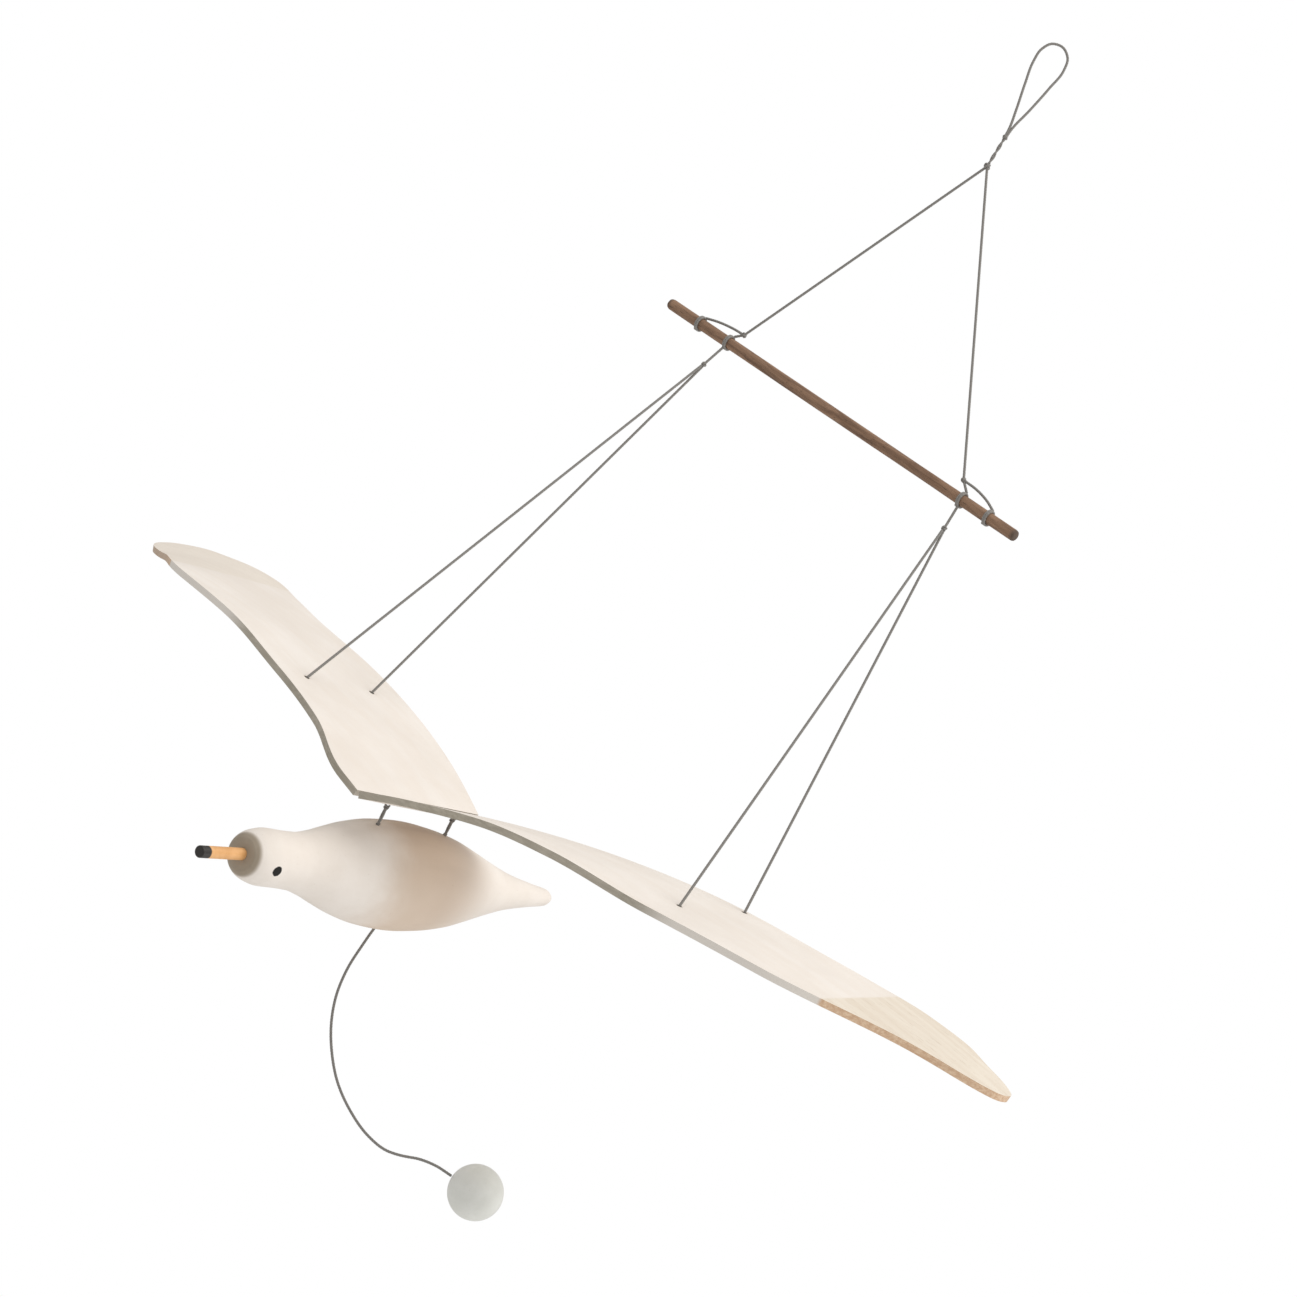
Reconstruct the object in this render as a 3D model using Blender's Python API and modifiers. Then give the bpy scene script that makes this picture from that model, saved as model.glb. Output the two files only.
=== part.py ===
"""Hanging gull mobile: two arched wooden wings tied over a turned body, slung from a twig crossbar.

Metres, +Z up the plumb line, +X the way the bird flies, +Y its left.
The origin is the top of the hanging loop. The bird hangs nose down by BIRD_PITCH, so its own
pieces are laid out in a bird frame (forward, left, up) from the middle of the wings' root line.
"""
import math

import bmesh
import bpy
import numpy as np
from mathutils import Matrix, Vector

MM = 0.001

# How the bird hangs: the middle of its root line, forward of the loop's top and below it
BIRD_FORWARD = 31.6 * MM
BIRD_HANG = 422.1 * MM
ROOT_CENTRE = Vector((BIRD_FORWARD, 0.0, -BIRD_HANG))
BIRD_PITCH = math.radians(20.0)

# Wings. Each leaves its root at WING_LIFT and bends down to WING_DROOP at the tip.
# The outlines are shares of the wing length and of the root chord.
WING_LENGTH = 240.0 * MM
ROOT_CHORD = 85.0 * MM
WING_THICKNESS = 2.8 * MM
WING_EDGE_ROUND = 0.7 * MM
ROOT_GAP = 0.6 * MM
WING_LIFT = math.radians(17.0)
WING_DROOP = 57.0 * MM
LEADING_EDGE = ((0, 0.44), (0.042, 0.445), (0.195, 0.262), (0.442, 0.085), (0.693, -0.075),
                (0.897, -0.57), (1, -0.775))
TRAILING_EDGE = ((0, -0.5), (0.146, -0.644), (0.293, -0.755), (0.442, -0.839), (0.592, -0.888),
                 (0.693, -0.99), (0.795, -1.12), (0.865, -1.14), (0.93, -1.07), (1, -1.02))
TIP_ROUND_FROM = 0.93
TIP_FULLNESS = 2.8
TIP_BLUNT = 0.2
WING_STATIONS = 26
CHORD_STEPS = 4

# The warp of each board: how far each edge rises at shares of the board's length
LEADING_RISE = {
    "right": ((0, 0), (0.2, -0.4 * MM), (0.34, -0.4 * MM), (0.55, 1.8 * MM), (0.7, 2.0 * MM),
              (0.85, -0.9 * MM), (0.93, -2.4 * MM), (1, -2.2 * MM)),
    "left": ((0, 0), (0.1, 1.6 * MM), (0.2, 2.2 * MM), (0.32, 0.4 * MM), (0.5, -3.6 * MM),
             (0.75, -2.0 * MM), (0.9, -0.4 * MM), (1, 0.4 * MM))}
TRAILING_RISE = {
    "right": ((0, 0), (0.35, 0.2 * MM), (0.5, 0.7 * MM), (0.7, 2.6 * MM), (0.85, 4.1 * MM),
              (0.93, 3.7 * MM), (1, 1.8 * MM)),
    "left": ((0, 0), (1, 0))}

# Sling holes in each wing: distance out from the root edge, then forward of the root's middle
RIGHT_SLING_HOLES = {"out": 79.5 * MM, "front": -1.5 * MM, "rear": -44.5 * MM}
LEFT_SLING_HOLES = {"out": 116.0 * MM, "front": -22.5 * MM, "rear": -68.5 * MM}
SLING_HOLE_DIAMETER = 2.4 * MM
STOPPER_DIAMETER = 3.6 * MM
SLING_LIFT = 0.8 * MM

# Turned body, its profile as shares of its length back from the nose and of its largest radius
BODY_LENGTH = 198.5 * MM
BODY_RADIUS = 21.8 * MM
NOSE_FORWARD = 84.5 * MM
TIE_HEIGHT = 7.4 * MM
BODY_DROP = WING_THICKNESS + TIE_HEIGHT + BODY_RADIUS
BODY_TILT = math.radians(1.1)
BODY_PROFILE = ((0, 0.303), (0.0066, 0.381), (0.0252, 0.459), (0.058, 0.509), (0.1033, 0.505),
                (0.1436, 0.514), (0.194, 0.592), (0.2443, 0.716), (0.3048, 0.858),
                (0.3753, 0.963), (0.4559, 1), (0.5365, 0.954), (0.6171, 0.849),
                (0.6877, 0.693), (0.7582, 0.523), (0.8388, 0.353), (0.9295, 0.229),
                (0.9849, 0.165), (1, 0.106))
PROFILE_STEPS = 34
BODY_SIDES = 28
BEAK_DIAMETER = 4.7 * MM
BEAK_REACH = 23.5 * MM
BEAK_SOCKET_DEPTH = 8.0 * MM
BEAK_TILT = math.radians(3.5)
BEAK_END_ROUND = 0.5 * MM

# Hinge ties between the body and both wing roots
TIE_PLACES = {"front": 16.5 * MM, "rear": -27.0 * MM}
TIE_SPREAD = 1.8 * MM
TIE_CLEARANCE = 0.9 * MM

# Crossbar, the place of its middle, and the lashings' places in from its two ends
BAR_LENGTH = 208.0 * MM
BAR_DIAMETER = 5.0 * MM
BAR_FORWARD = -28.2 * MM
BAR_LEFT = 4.0 * MM
BAR_HANG = 181.3 * MM
BAR_CENTRE = Vector((BAR_FORWARD, BAR_LEFT, -BAR_HANG))
BAR_TILT = math.radians(-4.9)
BAR_TURN = math.radians(1.1)
INNER_LASHING_SET_IN = {"right": 37.5 * MM, "left": 30.5 * MM}
OUTER_LASHING_SET_IN = {"right": 19.5 * MM, "left": 15.5 * MM}
LASHING_WIDTH = 2.8 * MM
LASHING_THICKNESS = 1.2 * MM
BRIDLE_SET_IN = {"right": 3.5 * MM, "left": 5.5 * MM}
BRIDLE_RISE = {"right": 2.6 * MM, "left": 3.4 * MM}
SPLIT_DROP = 15.0 * MM

# Cords and knots
CORD_DIAMETER = 1.2 * MM
KNOT_DIAMETER = 2.8 * MM
APEX_KNOT_DIAMETER = 3.6 * MM
APEX_FORWARD = -2.8 * MM
APEX_LEFT = 4.2 * MM
APEX_HANG = 62.0 * MM
APEX = Vector((APEX_FORWARD, APEX_LEFT, -APEX_HANG))
LOOP_TIE_RISE = 15.0 * MM
GAP = 0.3 * MM

# The loop's side, seen square on: sideways and up from the apex knot
LOOP_SIDE = Vector((0.56, -0.83, 0.0)).normalized()
LOOP_POINTS = ((2.4, 18.6), (5.2, 28.0), (8.9, 39.0), (11.9, 49.0), (12.4, 55.5), (10.2, 60.4),
               (5.8, 62.0), (1.4, 59.6), (-0.6, 54.0), (-0.4, 44.0), (0.4, 31.0), (1.5, 19.0))

# The pull cord, seen square on: back and down from where it leaves the belly
PULL_EXIT_FORWARD = -13.0 * MM
PULL_SIDE = Vector((-0.56, 0.83, 0.0)).normalized()
PULL_POINTS = ((0.0, 4.0), (0.0, -3.0), (0.4, -10.2), (1.4, -20.7), (4.6, -32.3), (10.2, -42.6),
               (17.0, -50.8), (26.0, -58.6), (37.0, -64.4), (48.5, -67.8), (57.5, -68.0),
               (64.0, -65.8), (70.0, -62.8), (77.0, -60.8), (84.3, -60.2))
PULL_CORD_STEP = 2.6
BRIDLE_STEP = 1.5 * MM
LOOP_STEP = 2.2 * MM
PIVOT_MARK_SIZE = 10 * MM
BALL_DIAMETER = 22.5 * MM
EXIT_HOLE_DIAMETER = 2.4 * MM
EXIT_HOLE_DEPTH = 8.0 * MM

# Colours and roughness
PAINTED_WING = ((0.87, 0.82, 0.76), 0.6)
PAINTED_BODY = ((0.80, 0.75, 0.68), 0.55)
BEAK_PAINT = ((0.80, 0.42, 0.16), 0.5)
TWIG_WOOD = ((0.26, 0.14, 0.08), 0.75)
CORD_FIBRE = ((0.20, 0.17, 0.13), 0.9)
BALL_PAINT = ((0.72, 0.74, 0.70), 0.5)


def bird(forward, left, up):
    """A place in the bird frame, as a place in the mobile's frame."""
    turn = Matrix.Rotation(BIRD_PITCH, 3, "Y")
    return ROOT_CENTRE + turn @ Vector((forward, left, up))


def body_place(forward):
    """A place on the body's own axis, which dips a little towards the head."""
    return forward, 0.0, -BODY_DROP - forward * math.tan(BODY_TILT)


def body_axis():
    return math.cos(BODY_TILT), 0.0, -math.sin(BODY_TILT)


def bird_level(forward, left, up):
    """A matrix at a place in the bird frame, its axes along the bird's own."""
    return Matrix.Translation(bird(forward, left, up)) @ Matrix.Rotation(BIRD_PITCH, 4, "Y")


def bird_matrix(forward, left, up, axis):
    """A matrix at a place in the bird frame, its Z along the given bird-frame axis."""
    facing = Vector(axis).to_track_quat("Z", "Y").to_matrix().to_4x4()
    return bird_level(forward, left, up) @ facing


def new_material(name, paint):
    colour, roughness = paint
    made = bpy.data.materials.new(name)
    made.use_nodes = True
    shader = made.node_tree.nodes["Principled BSDF"]
    shader.inputs["Base Color"].default_value = (*colour, 1.0)
    shader.inputs["Roughness"].default_value = roughness
    return made


def new_collection(name):
    made = bpy.data.collections.new(name)
    bpy.context.scene.collection.children.link(made)
    return made


def clear_scene():
    for thing in list(bpy.data.objects):
        bpy.data.objects.remove(thing, do_unlink=True)


def place(name, data, paint, matrix=None):
    """Adds an object to the mobile, with its own material."""
    made = bpy.data.objects.new(name, data)
    bpy.data.collections["hanging_gull_mobile"].objects.link(made)
    data.materials.append(new_material(name, paint))
    if matrix is not None:
        made.matrix_world = matrix
    return made


def place_cutter(name, radius, length, matrix):
    """A round cutter centred on the matrix, which only its Boolean uses."""
    mesh = bpy.data.meshes.new(name)
    shape = bmesh.new()
    bmesh.ops.create_cone(shape, cap_ends=True, segments=16, radius1=radius, radius2=radius,
                          depth=length)
    shape.to_mesh(mesh)
    shape.free()
    made = bpy.data.objects.new(name, mesh)
    bpy.data.collections["cutters"].objects.link(made)
    made.matrix_world = matrix
    made.hide_render = True
    made.display_type = "WIRE"
    return made


def place_pivot(name, matrix):
    """An empty that pieces which move together are parented to."""
    made = bpy.data.objects.new(name, None)
    bpy.data.collections["hanging_gull_mobile"].objects.link(made)
    made.matrix_world = matrix
    made.empty_display_size = PIVOT_MARK_SIZE
    return made


def hold(pivot, things):
    """Parents things to a pivot and leaves them where they are."""
    for thing in things:
        thing.parent = pivot
        thing.matrix_parent_inverse = pivot.matrix_world.inverted()


def cut(thing, cutter):
    step = thing.modifiers.new(cutter.name, "BOOLEAN")
    step.operation = "DIFFERENCE"
    step.object = cutter


def smooth_through(stations, at):
    """A smooth curve through (place, value) stations, read at the given places."""
    places, values = np.array(sorted(stations), float).T
    steps = np.diff(places)
    slopes = np.diff(values) / steps
    tangents = np.zeros(len(places))
    same_way = slopes[:-1] * slopes[1:] > 0
    inner = 2 * slopes[:-1] * slopes[1:] / np.where(same_way, slopes[:-1] + slopes[1:], 1)
    tangents[1:-1] = np.where(same_way, inner, 0)
    tangents[0], tangents[-1] = slopes[0], slopes[-1]
    cell = np.clip(np.searchsorted(places, at) - 1, 0, len(steps) - 1)
    share = (at - places[cell]) / steps[cell]
    start = (1 + 2 * share) * (1 - share) ** 2 * values[cell]
    start += share * (1 - share) ** 2 * steps[cell] * tangents[cell]
    end = share ** 2 * (3 - 2 * share) * values[cell + 1]
    end -= share ** 2 * (1 - share) * steps[cell] * tangents[cell + 1]
    return start + end


def round_route(points, step):
    """Points at about the given step along a smooth curve through a route's own points."""
    route = np.array(points, float)
    spans = np.linalg.norm(np.diff(route, axis=0), axis=1)
    along = np.concatenate([[0], np.cumsum(spans)])
    tangents = np.gradient(route, along, axis=0)
    count = max(2, int(round(along[-1] / step)) + 1)
    at = np.linspace(0, along[-1], count)
    cell = np.clip(np.searchsorted(along, at) - 1, 0, len(spans) - 1)
    share = ((at - along[cell]) / spans[cell])[:, None]
    width = spans[cell][:, None]
    start = (1 + 2 * share) * (1 - share) ** 2 * route[cell]
    start += share * (1 - share) ** 2 * width * tangents[cell]
    end = share ** 2 * (3 - 2 * share) * route[cell + 1]
    end -= share ** 2 * (1 - share) * width * tangents[cell + 1]
    return start + end


def make_cord(name, points, diameter=CORD_DIAMETER, closed=False):
    data = bpy.data.curves.new(name, "CURVE")
    data.dimensions = "3D"
    data.bevel_depth = diameter / 2
    data.bevel_resolution = 2
    data.use_fill_caps = not closed
    line = data.splines.new("POLY")
    line.points.add(len(points) - 1)
    for spot, point in zip(line.points, points):
        spot.co = (*point, 1.0)
    line.use_cyclic_u = closed
    return place(name, data, CORD_FIBRE)


def make_taut_cord(name, start, end, start_room, end_room):
    """A straight cord that stops short of what it meets by the room given at each end."""
    way = (end - start).normalized()
    return make_cord(name, [start + way * start_room, end - way * end_room])


def make_knot(name, centre, diameter, along=(0, 0, 1), stretch=1.15):
    """A tight knot as a small rounded bead, a little longer along its cord."""
    mesh = bpy.data.meshes.new(name)
    shape = bmesh.new()
    bmesh.ops.create_uvsphere(shape, u_segments=10, v_segments=7, radius=diameter / 2)
    bmesh.ops.scale(shape, vec=(1, 1, stretch), verts=shape.verts)
    shape.to_mesh(mesh)
    shape.free()
    mesh.shade_smooth()
    facing = Vector(along).to_track_quat("Z", "Y").to_matrix().to_4x4()
    return place(name, mesh, CORD_FIBRE, Matrix.Translation(centre) @ facing)


def wing_section(out):
    """(sideways, up) of a wing's top face at a distance out along it from the root edge."""
    droop = -WING_DROOP * (out / WING_LENGTH) ** 2
    sideways = out * math.cos(WING_LIFT) - droop * math.sin(WING_LIFT)
    up = out * math.sin(WING_LIFT) + droop * math.cos(WING_LIFT)
    return sideways, up


def wing_slope(out):
    return WING_LIFT - math.atan(2 * WING_DROOP * out / WING_LENGTH ** 2)


def wing_edges(share):
    """The leading and trailing edges' places at shares of the length, before the tip is rounded."""
    return tuple(smooth_through(edge, share) * ROOT_CHORD for edge in (LEADING_EDGE, TRAILING_EDGE))


def wing_warp(side, share, forward):
    """How far a board is warped up at a share of its length and a place along its chord."""
    lead, trail = (float(edge[0]) for edge in wing_edges(np.array([share])))
    behind = (lead - forward) / (lead - trail)
    front, back = (float(smooth_through(rise[side], np.array([share]))[0])
                   for rise in (LEADING_RISE, TRAILING_RISE))
    return front + (back - front) * behind


def hole_up(side, holes, end):
    """The height of a sling hole's mouth on the warped top face."""
    share = holes["out"] / WING_LENGTH
    return wing_section(holes["out"])[1] + wing_warp(side, share, holes[end])


def wing_outline():
    """Shares of the length, with the leading and trailing edges there in metres."""
    turn = np.linspace(0, math.pi / 2, WING_STATIONS)
    share = np.sin(turn) ** 1.15
    front, back = wing_edges(share)
    late = np.clip((share - TIP_ROUND_FROM) / (1 - TIP_ROUND_FROM), 0, 1)
    keep = np.maximum((1 - late ** TIP_FULLNESS) ** (1 / TIP_FULLNESS), TIP_BLUNT)
    middle = (front + back) / 2
    half = (front - back) / 2 * keep
    return share, middle + half, middle - half


def make_wing(side, sign, holes):
    """One arched board: an open grid over the outline, thickened, its rim rounded and drilled.

    Its own origin is midway between the sling holes, on the line it rocks about.
    """
    share, front, back = wing_outline()
    rock_forward = (holes["front"] + holes["rear"]) / 2
    rock_out = wing_section(holes["out"])[0]
    rock_up = sum(hole_up(side, holes, end) for end in ("front", "rear")) / 2
    shape = bmesh.new()
    rows = []
    for place_share, lead, trail in zip(share, front, back):
        sideways, up = wing_section(place_share * WING_LENGTH)
        row = []
        for step in range(CHORD_STEPS + 1):
            forward = lead - (lead - trail) * step / CHORD_STEPS
            height = up + wing_warp(side, place_share, forward)
            row.append(shape.verts.new((forward - rock_forward, sign * (sideways - rock_out),
                                        height - rock_up)))
        rows.append(row)
    for near, far in zip(rows, rows[1:]):
        for step in range(CHORD_STEPS):
            ring = [near[step], near[step + 1], far[step + 1], far[step]]
            shape.faces.new(ring if sign < 0 else ring[::-1])
    bmesh.ops.recalc_face_normals(shape, faces=shape.faces)
    shape.faces.ensure_lookup_table()
    shape.normal_update()
    if shape.faces[0].normal.z < 0:
        bmesh.ops.reverse_faces(shape, faces=shape.faces)
    name = "wing_" + side
    mesh = bpy.data.meshes.new(name)
    shape.to_mesh(mesh)
    shape.free()
    rock = bird_level(rock_forward, sign * (ROOT_GAP + rock_out), rock_up)
    wing = place(name, mesh, PAINTED_WING, rock)
    board = wing.modifiers.new("board", "SOLIDIFY")
    board.thickness = WING_THICKNESS
    board.offset = -1
    board.use_even_offset = True
    rim = wing.modifiers.new("rim", "BEVEL")
    rim.width = WING_EDGE_ROUND
    rim.segments = 2
    rim.limit_method = "ANGLE"
    rim.angle_limit = math.radians(50)
    for end in ("front", "rear"):
        matrix = sling_hole_matrix(side, sign, holes, end)
        cut(wing, place_cutter(f"{name}_hole_{end}", SLING_HOLE_DIAMETER / 2,
                               WING_THICKNESS * 3, matrix))
        stopper = make_stopper(side, end, matrix)
        bpy.context.view_layer.update()
        hold(wing, [stopper])
    return wing


def sling_hole_matrix(side, sign, holes, end):
    """The hole's middle on the top face, Z square to the wing there."""
    slope = wing_slope(holes["out"])
    axis = (0, -sign * math.sin(slope), math.cos(slope))
    sideways = wing_section(holes["out"])[0]
    return bird_matrix(holes[end], sign * (ROOT_GAP + sideways), hole_up(side, holes, end), axis)


def make_stopper(side, end, matrix):
    """The knot under the wing, with the short cord that fills the hole above it."""
    name = f"stopper_knot_{side}_{end}"
    radius = CORD_DIAMETER / 2
    bottom = WING_THICKNESS + GAP + STOPPER_DIAMETER
    ball = STOPPER_DIAMETER / 2
    rim = [(0, 0), (radius, 0)]
    turn_from = math.asin(radius / ball)
    for step in range(7):
        turn = turn_from + (math.pi - turn_from) * step / 6
        rim.append((ball * math.sin(turn), -bottom + ball + ball * math.cos(turn)))
    rim[-1] = (0, -bottom)
    return place_turned(name, rim, 10, CORD_FIBRE, matrix)


def place_turned(name, profile, sides, paint, matrix):
    """A turned shape from (radius, height) points that run down its outer side."""
    mesh = bpy.data.meshes.new(name)
    shape = bmesh.new()
    spots = [shape.verts.new((radius, 0, height)) for radius, height in profile]
    for upper, lower in zip(spots, spots[1:]):
        shape.edges.new((upper, lower))
    shape.to_mesh(mesh)
    shape.free()
    made = place(name, mesh, paint, matrix)
    lathe = made.modifiers.new("lathe", "SCREW")
    lathe.steps = sides
    lathe.render_steps = sides
    lathe.use_merge_vertices = True
    lathe.merge_threshold = 0.00001
    lathe.use_smooth_shade = True
    return made


def body_stations():
    """The profile's points as (forward of the root's middle, radius)."""
    return [(NOSE_FORWARD - back * BODY_LENGTH, girth * BODY_RADIUS) for back, girth in BODY_PROFILE]


def body_radius(forward):
    return float(smooth_through(body_stations(), np.array([forward]))[0])


def make_body():
    tail = NOSE_FORWARD - BODY_LENGTH
    turn = np.linspace(0, math.pi, PROFILE_STEPS)
    places = NOSE_FORWARD - BODY_LENGTH * (1 - np.cos(turn)) / 2
    radii = smooth_through(body_stations(), places)
    profile = [(0, NOSE_FORWARD)] + list(zip(radii, places)) + [(0, tail)]
    matrix = bird_matrix(*body_place(0.0), body_axis())
    body = place_turned("bird_body", profile, BODY_SIDES, PAINTED_BODY, matrix)
    depth = BEAK_SOCKET_DEPTH + GAP
    socket = beak_matrix() @ Matrix.Translation((0, 0, depth / 2))
    cut(body, place_cutter("beak_socket", BEAK_DIAMETER / 2 + GAP, 3 * depth, socket))
    hole = Matrix.Translation(belly_place())
    cut(body, place_cutter("pull_cord_hole", EXIT_HOLE_DIAMETER / 2, 2 * EXIT_HOLE_DEPTH, hole))
    return body


def belly_place():
    """Where the pull cord leaves the underside of the body."""
    forward, left, up = body_place(PULL_EXIT_FORWARD)
    return bird(forward, left, up - body_radius(PULL_EXIT_FORWARD))


def beak_matrix():
    """The middle of the head's front face, its Z along the beak."""
    down = BODY_TILT + BEAK_TILT
    return bird_matrix(*body_place(NOSE_FORWARD), (math.cos(down), 0, -math.sin(down)))


def make_beak():
    tip = BEAK_REACH
    root = -BEAK_SOCKET_DEPTH
    radius = BEAK_DIAMETER / 2
    inner = radius - BEAK_END_ROUND
    profile = [(0, tip), (inner, tip), (radius - BEAK_END_ROUND * 0.3, tip - BEAK_END_ROUND * 0.3),
               (radius, tip - BEAK_END_ROUND), (radius, root), (0, root)]
    return place_turned("beak", profile, 16, BEAK_PAINT, beak_matrix())


def make_hinge_tie(end, forward):
    """One cord from the body's back up to both wing roots, as a narrow V."""
    radius = CORD_DIAMETER / 2
    under = -WING_THICKNESS - TIE_CLEARANCE
    back = body_place(forward)[2] + body_radius(forward) + GAP + radius
    left = (forward, TIE_SPREAD, under)
    turned = (forward, 0.0, back)
    right = (forward, -TIE_SPREAD, under)
    points = [left, (forward, TIE_SPREAD * 0.35, under * 0.5 + back * 0.5), turned,
              (forward, -TIE_SPREAD * 0.35, under * 0.5 + back * 0.5), right]
    return make_cord(f"hinge_tie_{end}", [bird(*point) for point in points])


def bar_place(along, over=0.0):
    """A place at a distance along the crossbar from its middle, and over it."""
    way = bar_direction()
    across = way.cross(Vector((1, 0, 0))).normalized()
    up = across if across.z > 0 else -across
    return BAR_CENTRE + way * along + up * over


def bar_direction():
    return Vector((-math.sin(BAR_TURN) * math.cos(BAR_TILT), math.cos(BAR_TURN) * math.cos(BAR_TILT),
                   math.sin(BAR_TILT))).normalized()


def make_crossbar():
    """A straight peeled twig, its ends a little rounded."""
    data = bpy.data.curves.new("crossbar", "CURVE")
    data.dimensions = "3D"
    data.bevel_depth = BAR_DIAMETER / 2
    data.bevel_resolution = 4
    data.use_fill_caps = True
    half = BAR_LENGTH / 2
    rounded = 0.8 * MM
    spots = [(-half, 0.72), (-half + rounded, 0.98), (-half + 3 * rounded, 1), (0, 1),
             (half - 3 * rounded, 1), (half - rounded, 0.98), (half, 0.72)]
    line = data.splines.new("POLY")
    line.points.add(len(spots) - 1)
    for spot, (along, width) in zip(line.points, spots):
        spot.co = (*bar_place(along), 1.0)
        spot.radius = width
    return place("crossbar", data, TWIG_WOOD)


def make_lashing(name, along):
    """Turns of cord round the bar, as one ring of their outer shape."""
    inner = BAR_DIAMETER / 2 + GAP
    outer = inner + LASHING_THICKNESS
    half = LASHING_WIDTH / 2
    edge = LASHING_THICKNESS * 0.35
    profile = [(inner, half), (outer - edge, half), (outer, half - edge), (outer, -half + edge),
               (outer - edge, -half), (inner, -half), (inner, half)]
    facing = bar_direction().to_track_quat("Z", "Y").to_matrix().to_4x4()
    matrix = Matrix.Translation(bar_place(along)) @ facing
    return place_turned(name, profile, 16, CORD_FIBRE, matrix)


def make_bar_rigging(side, sign, holes):
    """Everything that ties one side's slings to the bar and the bar to the apex knot."""
    ring = BAR_DIAMETER / 2 + GAP + LASHING_THICKNESS
    radius = CORD_DIAMETER / 2
    knot = KNOT_DIAMETER * 1.15 / 2
    inner = sign * (BAR_LENGTH / 2 - INNER_LASHING_SET_IN[side])
    outer = sign * (BAR_LENGTH / 2 - OUTER_LASHING_SET_IN[side])
    make_lashing(f"bar_lashing_inner_{side}", inner)
    make_lashing(f"bar_lashing_outer_{side}", outer)
    over = ring + BRIDLE_RISE[side]
    set_in = BRIDLE_SET_IN[side]
    bridle = bar_place(inner - sign * set_in, over)
    make_knot(f"bridle_knot_{side}", bridle, KNOT_DIAMETER, APEX - bridle)
    apex_room = APEX_KNOT_DIAMETER * 1.15 / 2 + GAP
    make_taut_cord(f"top_cord_{side}", APEX, bridle, apex_room + 0.2 * MM, knot + GAP)
    make_taut_cord(f"bridle_inner_{side}", bridle, bar_place(inner, ring + GAP + radius * 0.5),
                   knot + GAP, 0)
    span = outer - inner
    foot_rise = ring + GAP + radius * 0.5
    sag = (over - foot_rise) * 0.2
    arch = [(inner - sign * (set_in - knot - GAP), over + radius * 1.5),
            (inner + span * 0.15, over + radius * 0.6), (inner + span * 0.65, over - 2 * sag),
            (outer - sign * 1.5 * MM, foot_rise + sag), (outer, foot_rise)]
    route = [bar_place(along, height) for along, height in arch]
    make_cord(f"bridle_outer_{side}", [Vector(p) for p in round_route(route, BRIDLE_STEP)])
    middle = sum((sling_end(side, sign, holes, end) for end in ("front", "rear")), Vector()) / 2
    hang = bar_place(inner)
    split = hang + (middle - hang).normalized() * SPLIT_DROP
    make_knot(f"split_knot_{side}", split, KNOT_DIAMETER, hang - split)
    make_taut_cord(f"drop_cord_{side}", hang, split, ring + GAP + radius * 0.3, knot + GAP)
    turn = Matrix.Rotation(BIRD_PITCH, 4, "Y")
    swing = place_pivot(f"sling_swing_{side}", Matrix.Translation(split) @ turn)
    for end in ("front", "rear"):
        foot = sling_end(side, sign, holes, end)
        aside = (foot - middle).normalized() * radius * 1.4
        sling = make_taut_cord(f"sling_cord_{side}_{end}", split + aside, foot, knot + GAP, 0)
        bpy.context.view_layer.update()
        hold(swing, [sling])


def sling_end(side, sign, holes, end):
    """Where a sling stops, just over its hole in the wing."""
    return sling_hole_matrix(side, sign, holes, end) @ Vector((0, 0, SLING_LIFT))


def make_hanging_loop():
    """The teardrop to hang it by, its tie, and the doubled cord down to the apex knot."""
    spots = [(side * MM, rise * MM) for side, rise in LOOP_POINTS]
    route = [APEX + LOOP_SIDE * side + Vector((0, 0, rise)) for side, rise in spots]
    smooth = [Vector(point) for point in round_route(route, LOOP_STEP)]
    make_cord("hanging_loop", smooth, closed=True)
    low = (route[0] + route[-1]) / 2
    way = (low - APEX).normalized()
    tie = APEX + way * LOOP_TIE_RISE
    make_knot("loop_tie", tie, KNOT_DIAMETER, way)
    make_knot("apex_knot", APEX, APEX_KNOT_DIAMETER, way)
    make_taut_cord("loop_stem", APEX, tie, APEX_KNOT_DIAMETER * 1.15 / 2 + GAP,
                   KNOT_DIAMETER * 1.15 / 2 + GAP)


def make_pull():
    """The loose pull cord and the ball on its end."""
    start = belly_place()
    route = [start + PULL_SIDE * side * MM + Vector((0, 0, rise * MM)) for side, rise in PULL_POINTS]
    smooth = [Vector(point) for point in round_route(route, PULL_CORD_STEP * CORD_DIAMETER)]
    cord = make_cord("pull_cord", smooth)
    way = (smooth[-1] - smooth[-2]).normalized()
    centre = smooth[-1] + way * (BALL_DIAMETER / 2 + GAP)
    mesh = bpy.data.meshes.new("pull_ball")
    shape = bmesh.new()
    bmesh.ops.create_uvsphere(shape, u_segments=24, v_segments=16, radius=BALL_DIAMETER / 2)
    shape.to_mesh(mesh)
    shape.free()
    mesh.shade_smooth()
    facing = way.to_track_quat("Z", "Y").to_matrix().to_4x4()
    ball = place("pull_ball", mesh, BALL_PAINT, Matrix.Translation(centre) @ facing)
    return [cord, ball]


def main():
    clear_scene()
    new_collection("hanging_gull_mobile")
    new_collection("cutters")
    make_hanging_loop()
    make_crossbar()
    for side, sign, holes in (("right", -1, RIGHT_SLING_HOLES), ("left", 1, LEFT_SLING_HOLES)):
        make_bar_rigging(side, sign, holes)
        make_wing(side, sign, holes)
    moved_by_pull = [make_body(), make_beak()]
    moved_by_pull += [make_hinge_tie(end, forward) for end, forward in TIE_PLACES.items()]
    moved_by_pull += make_pull()
    pull = place_pivot("body_pull", bird_level(*body_place(0.0)))
    bpy.context.view_layer.update()
    hold(pull, moved_by_pull)
    bpy.data.collections["cutters"].hide_render = True


main()
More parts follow.
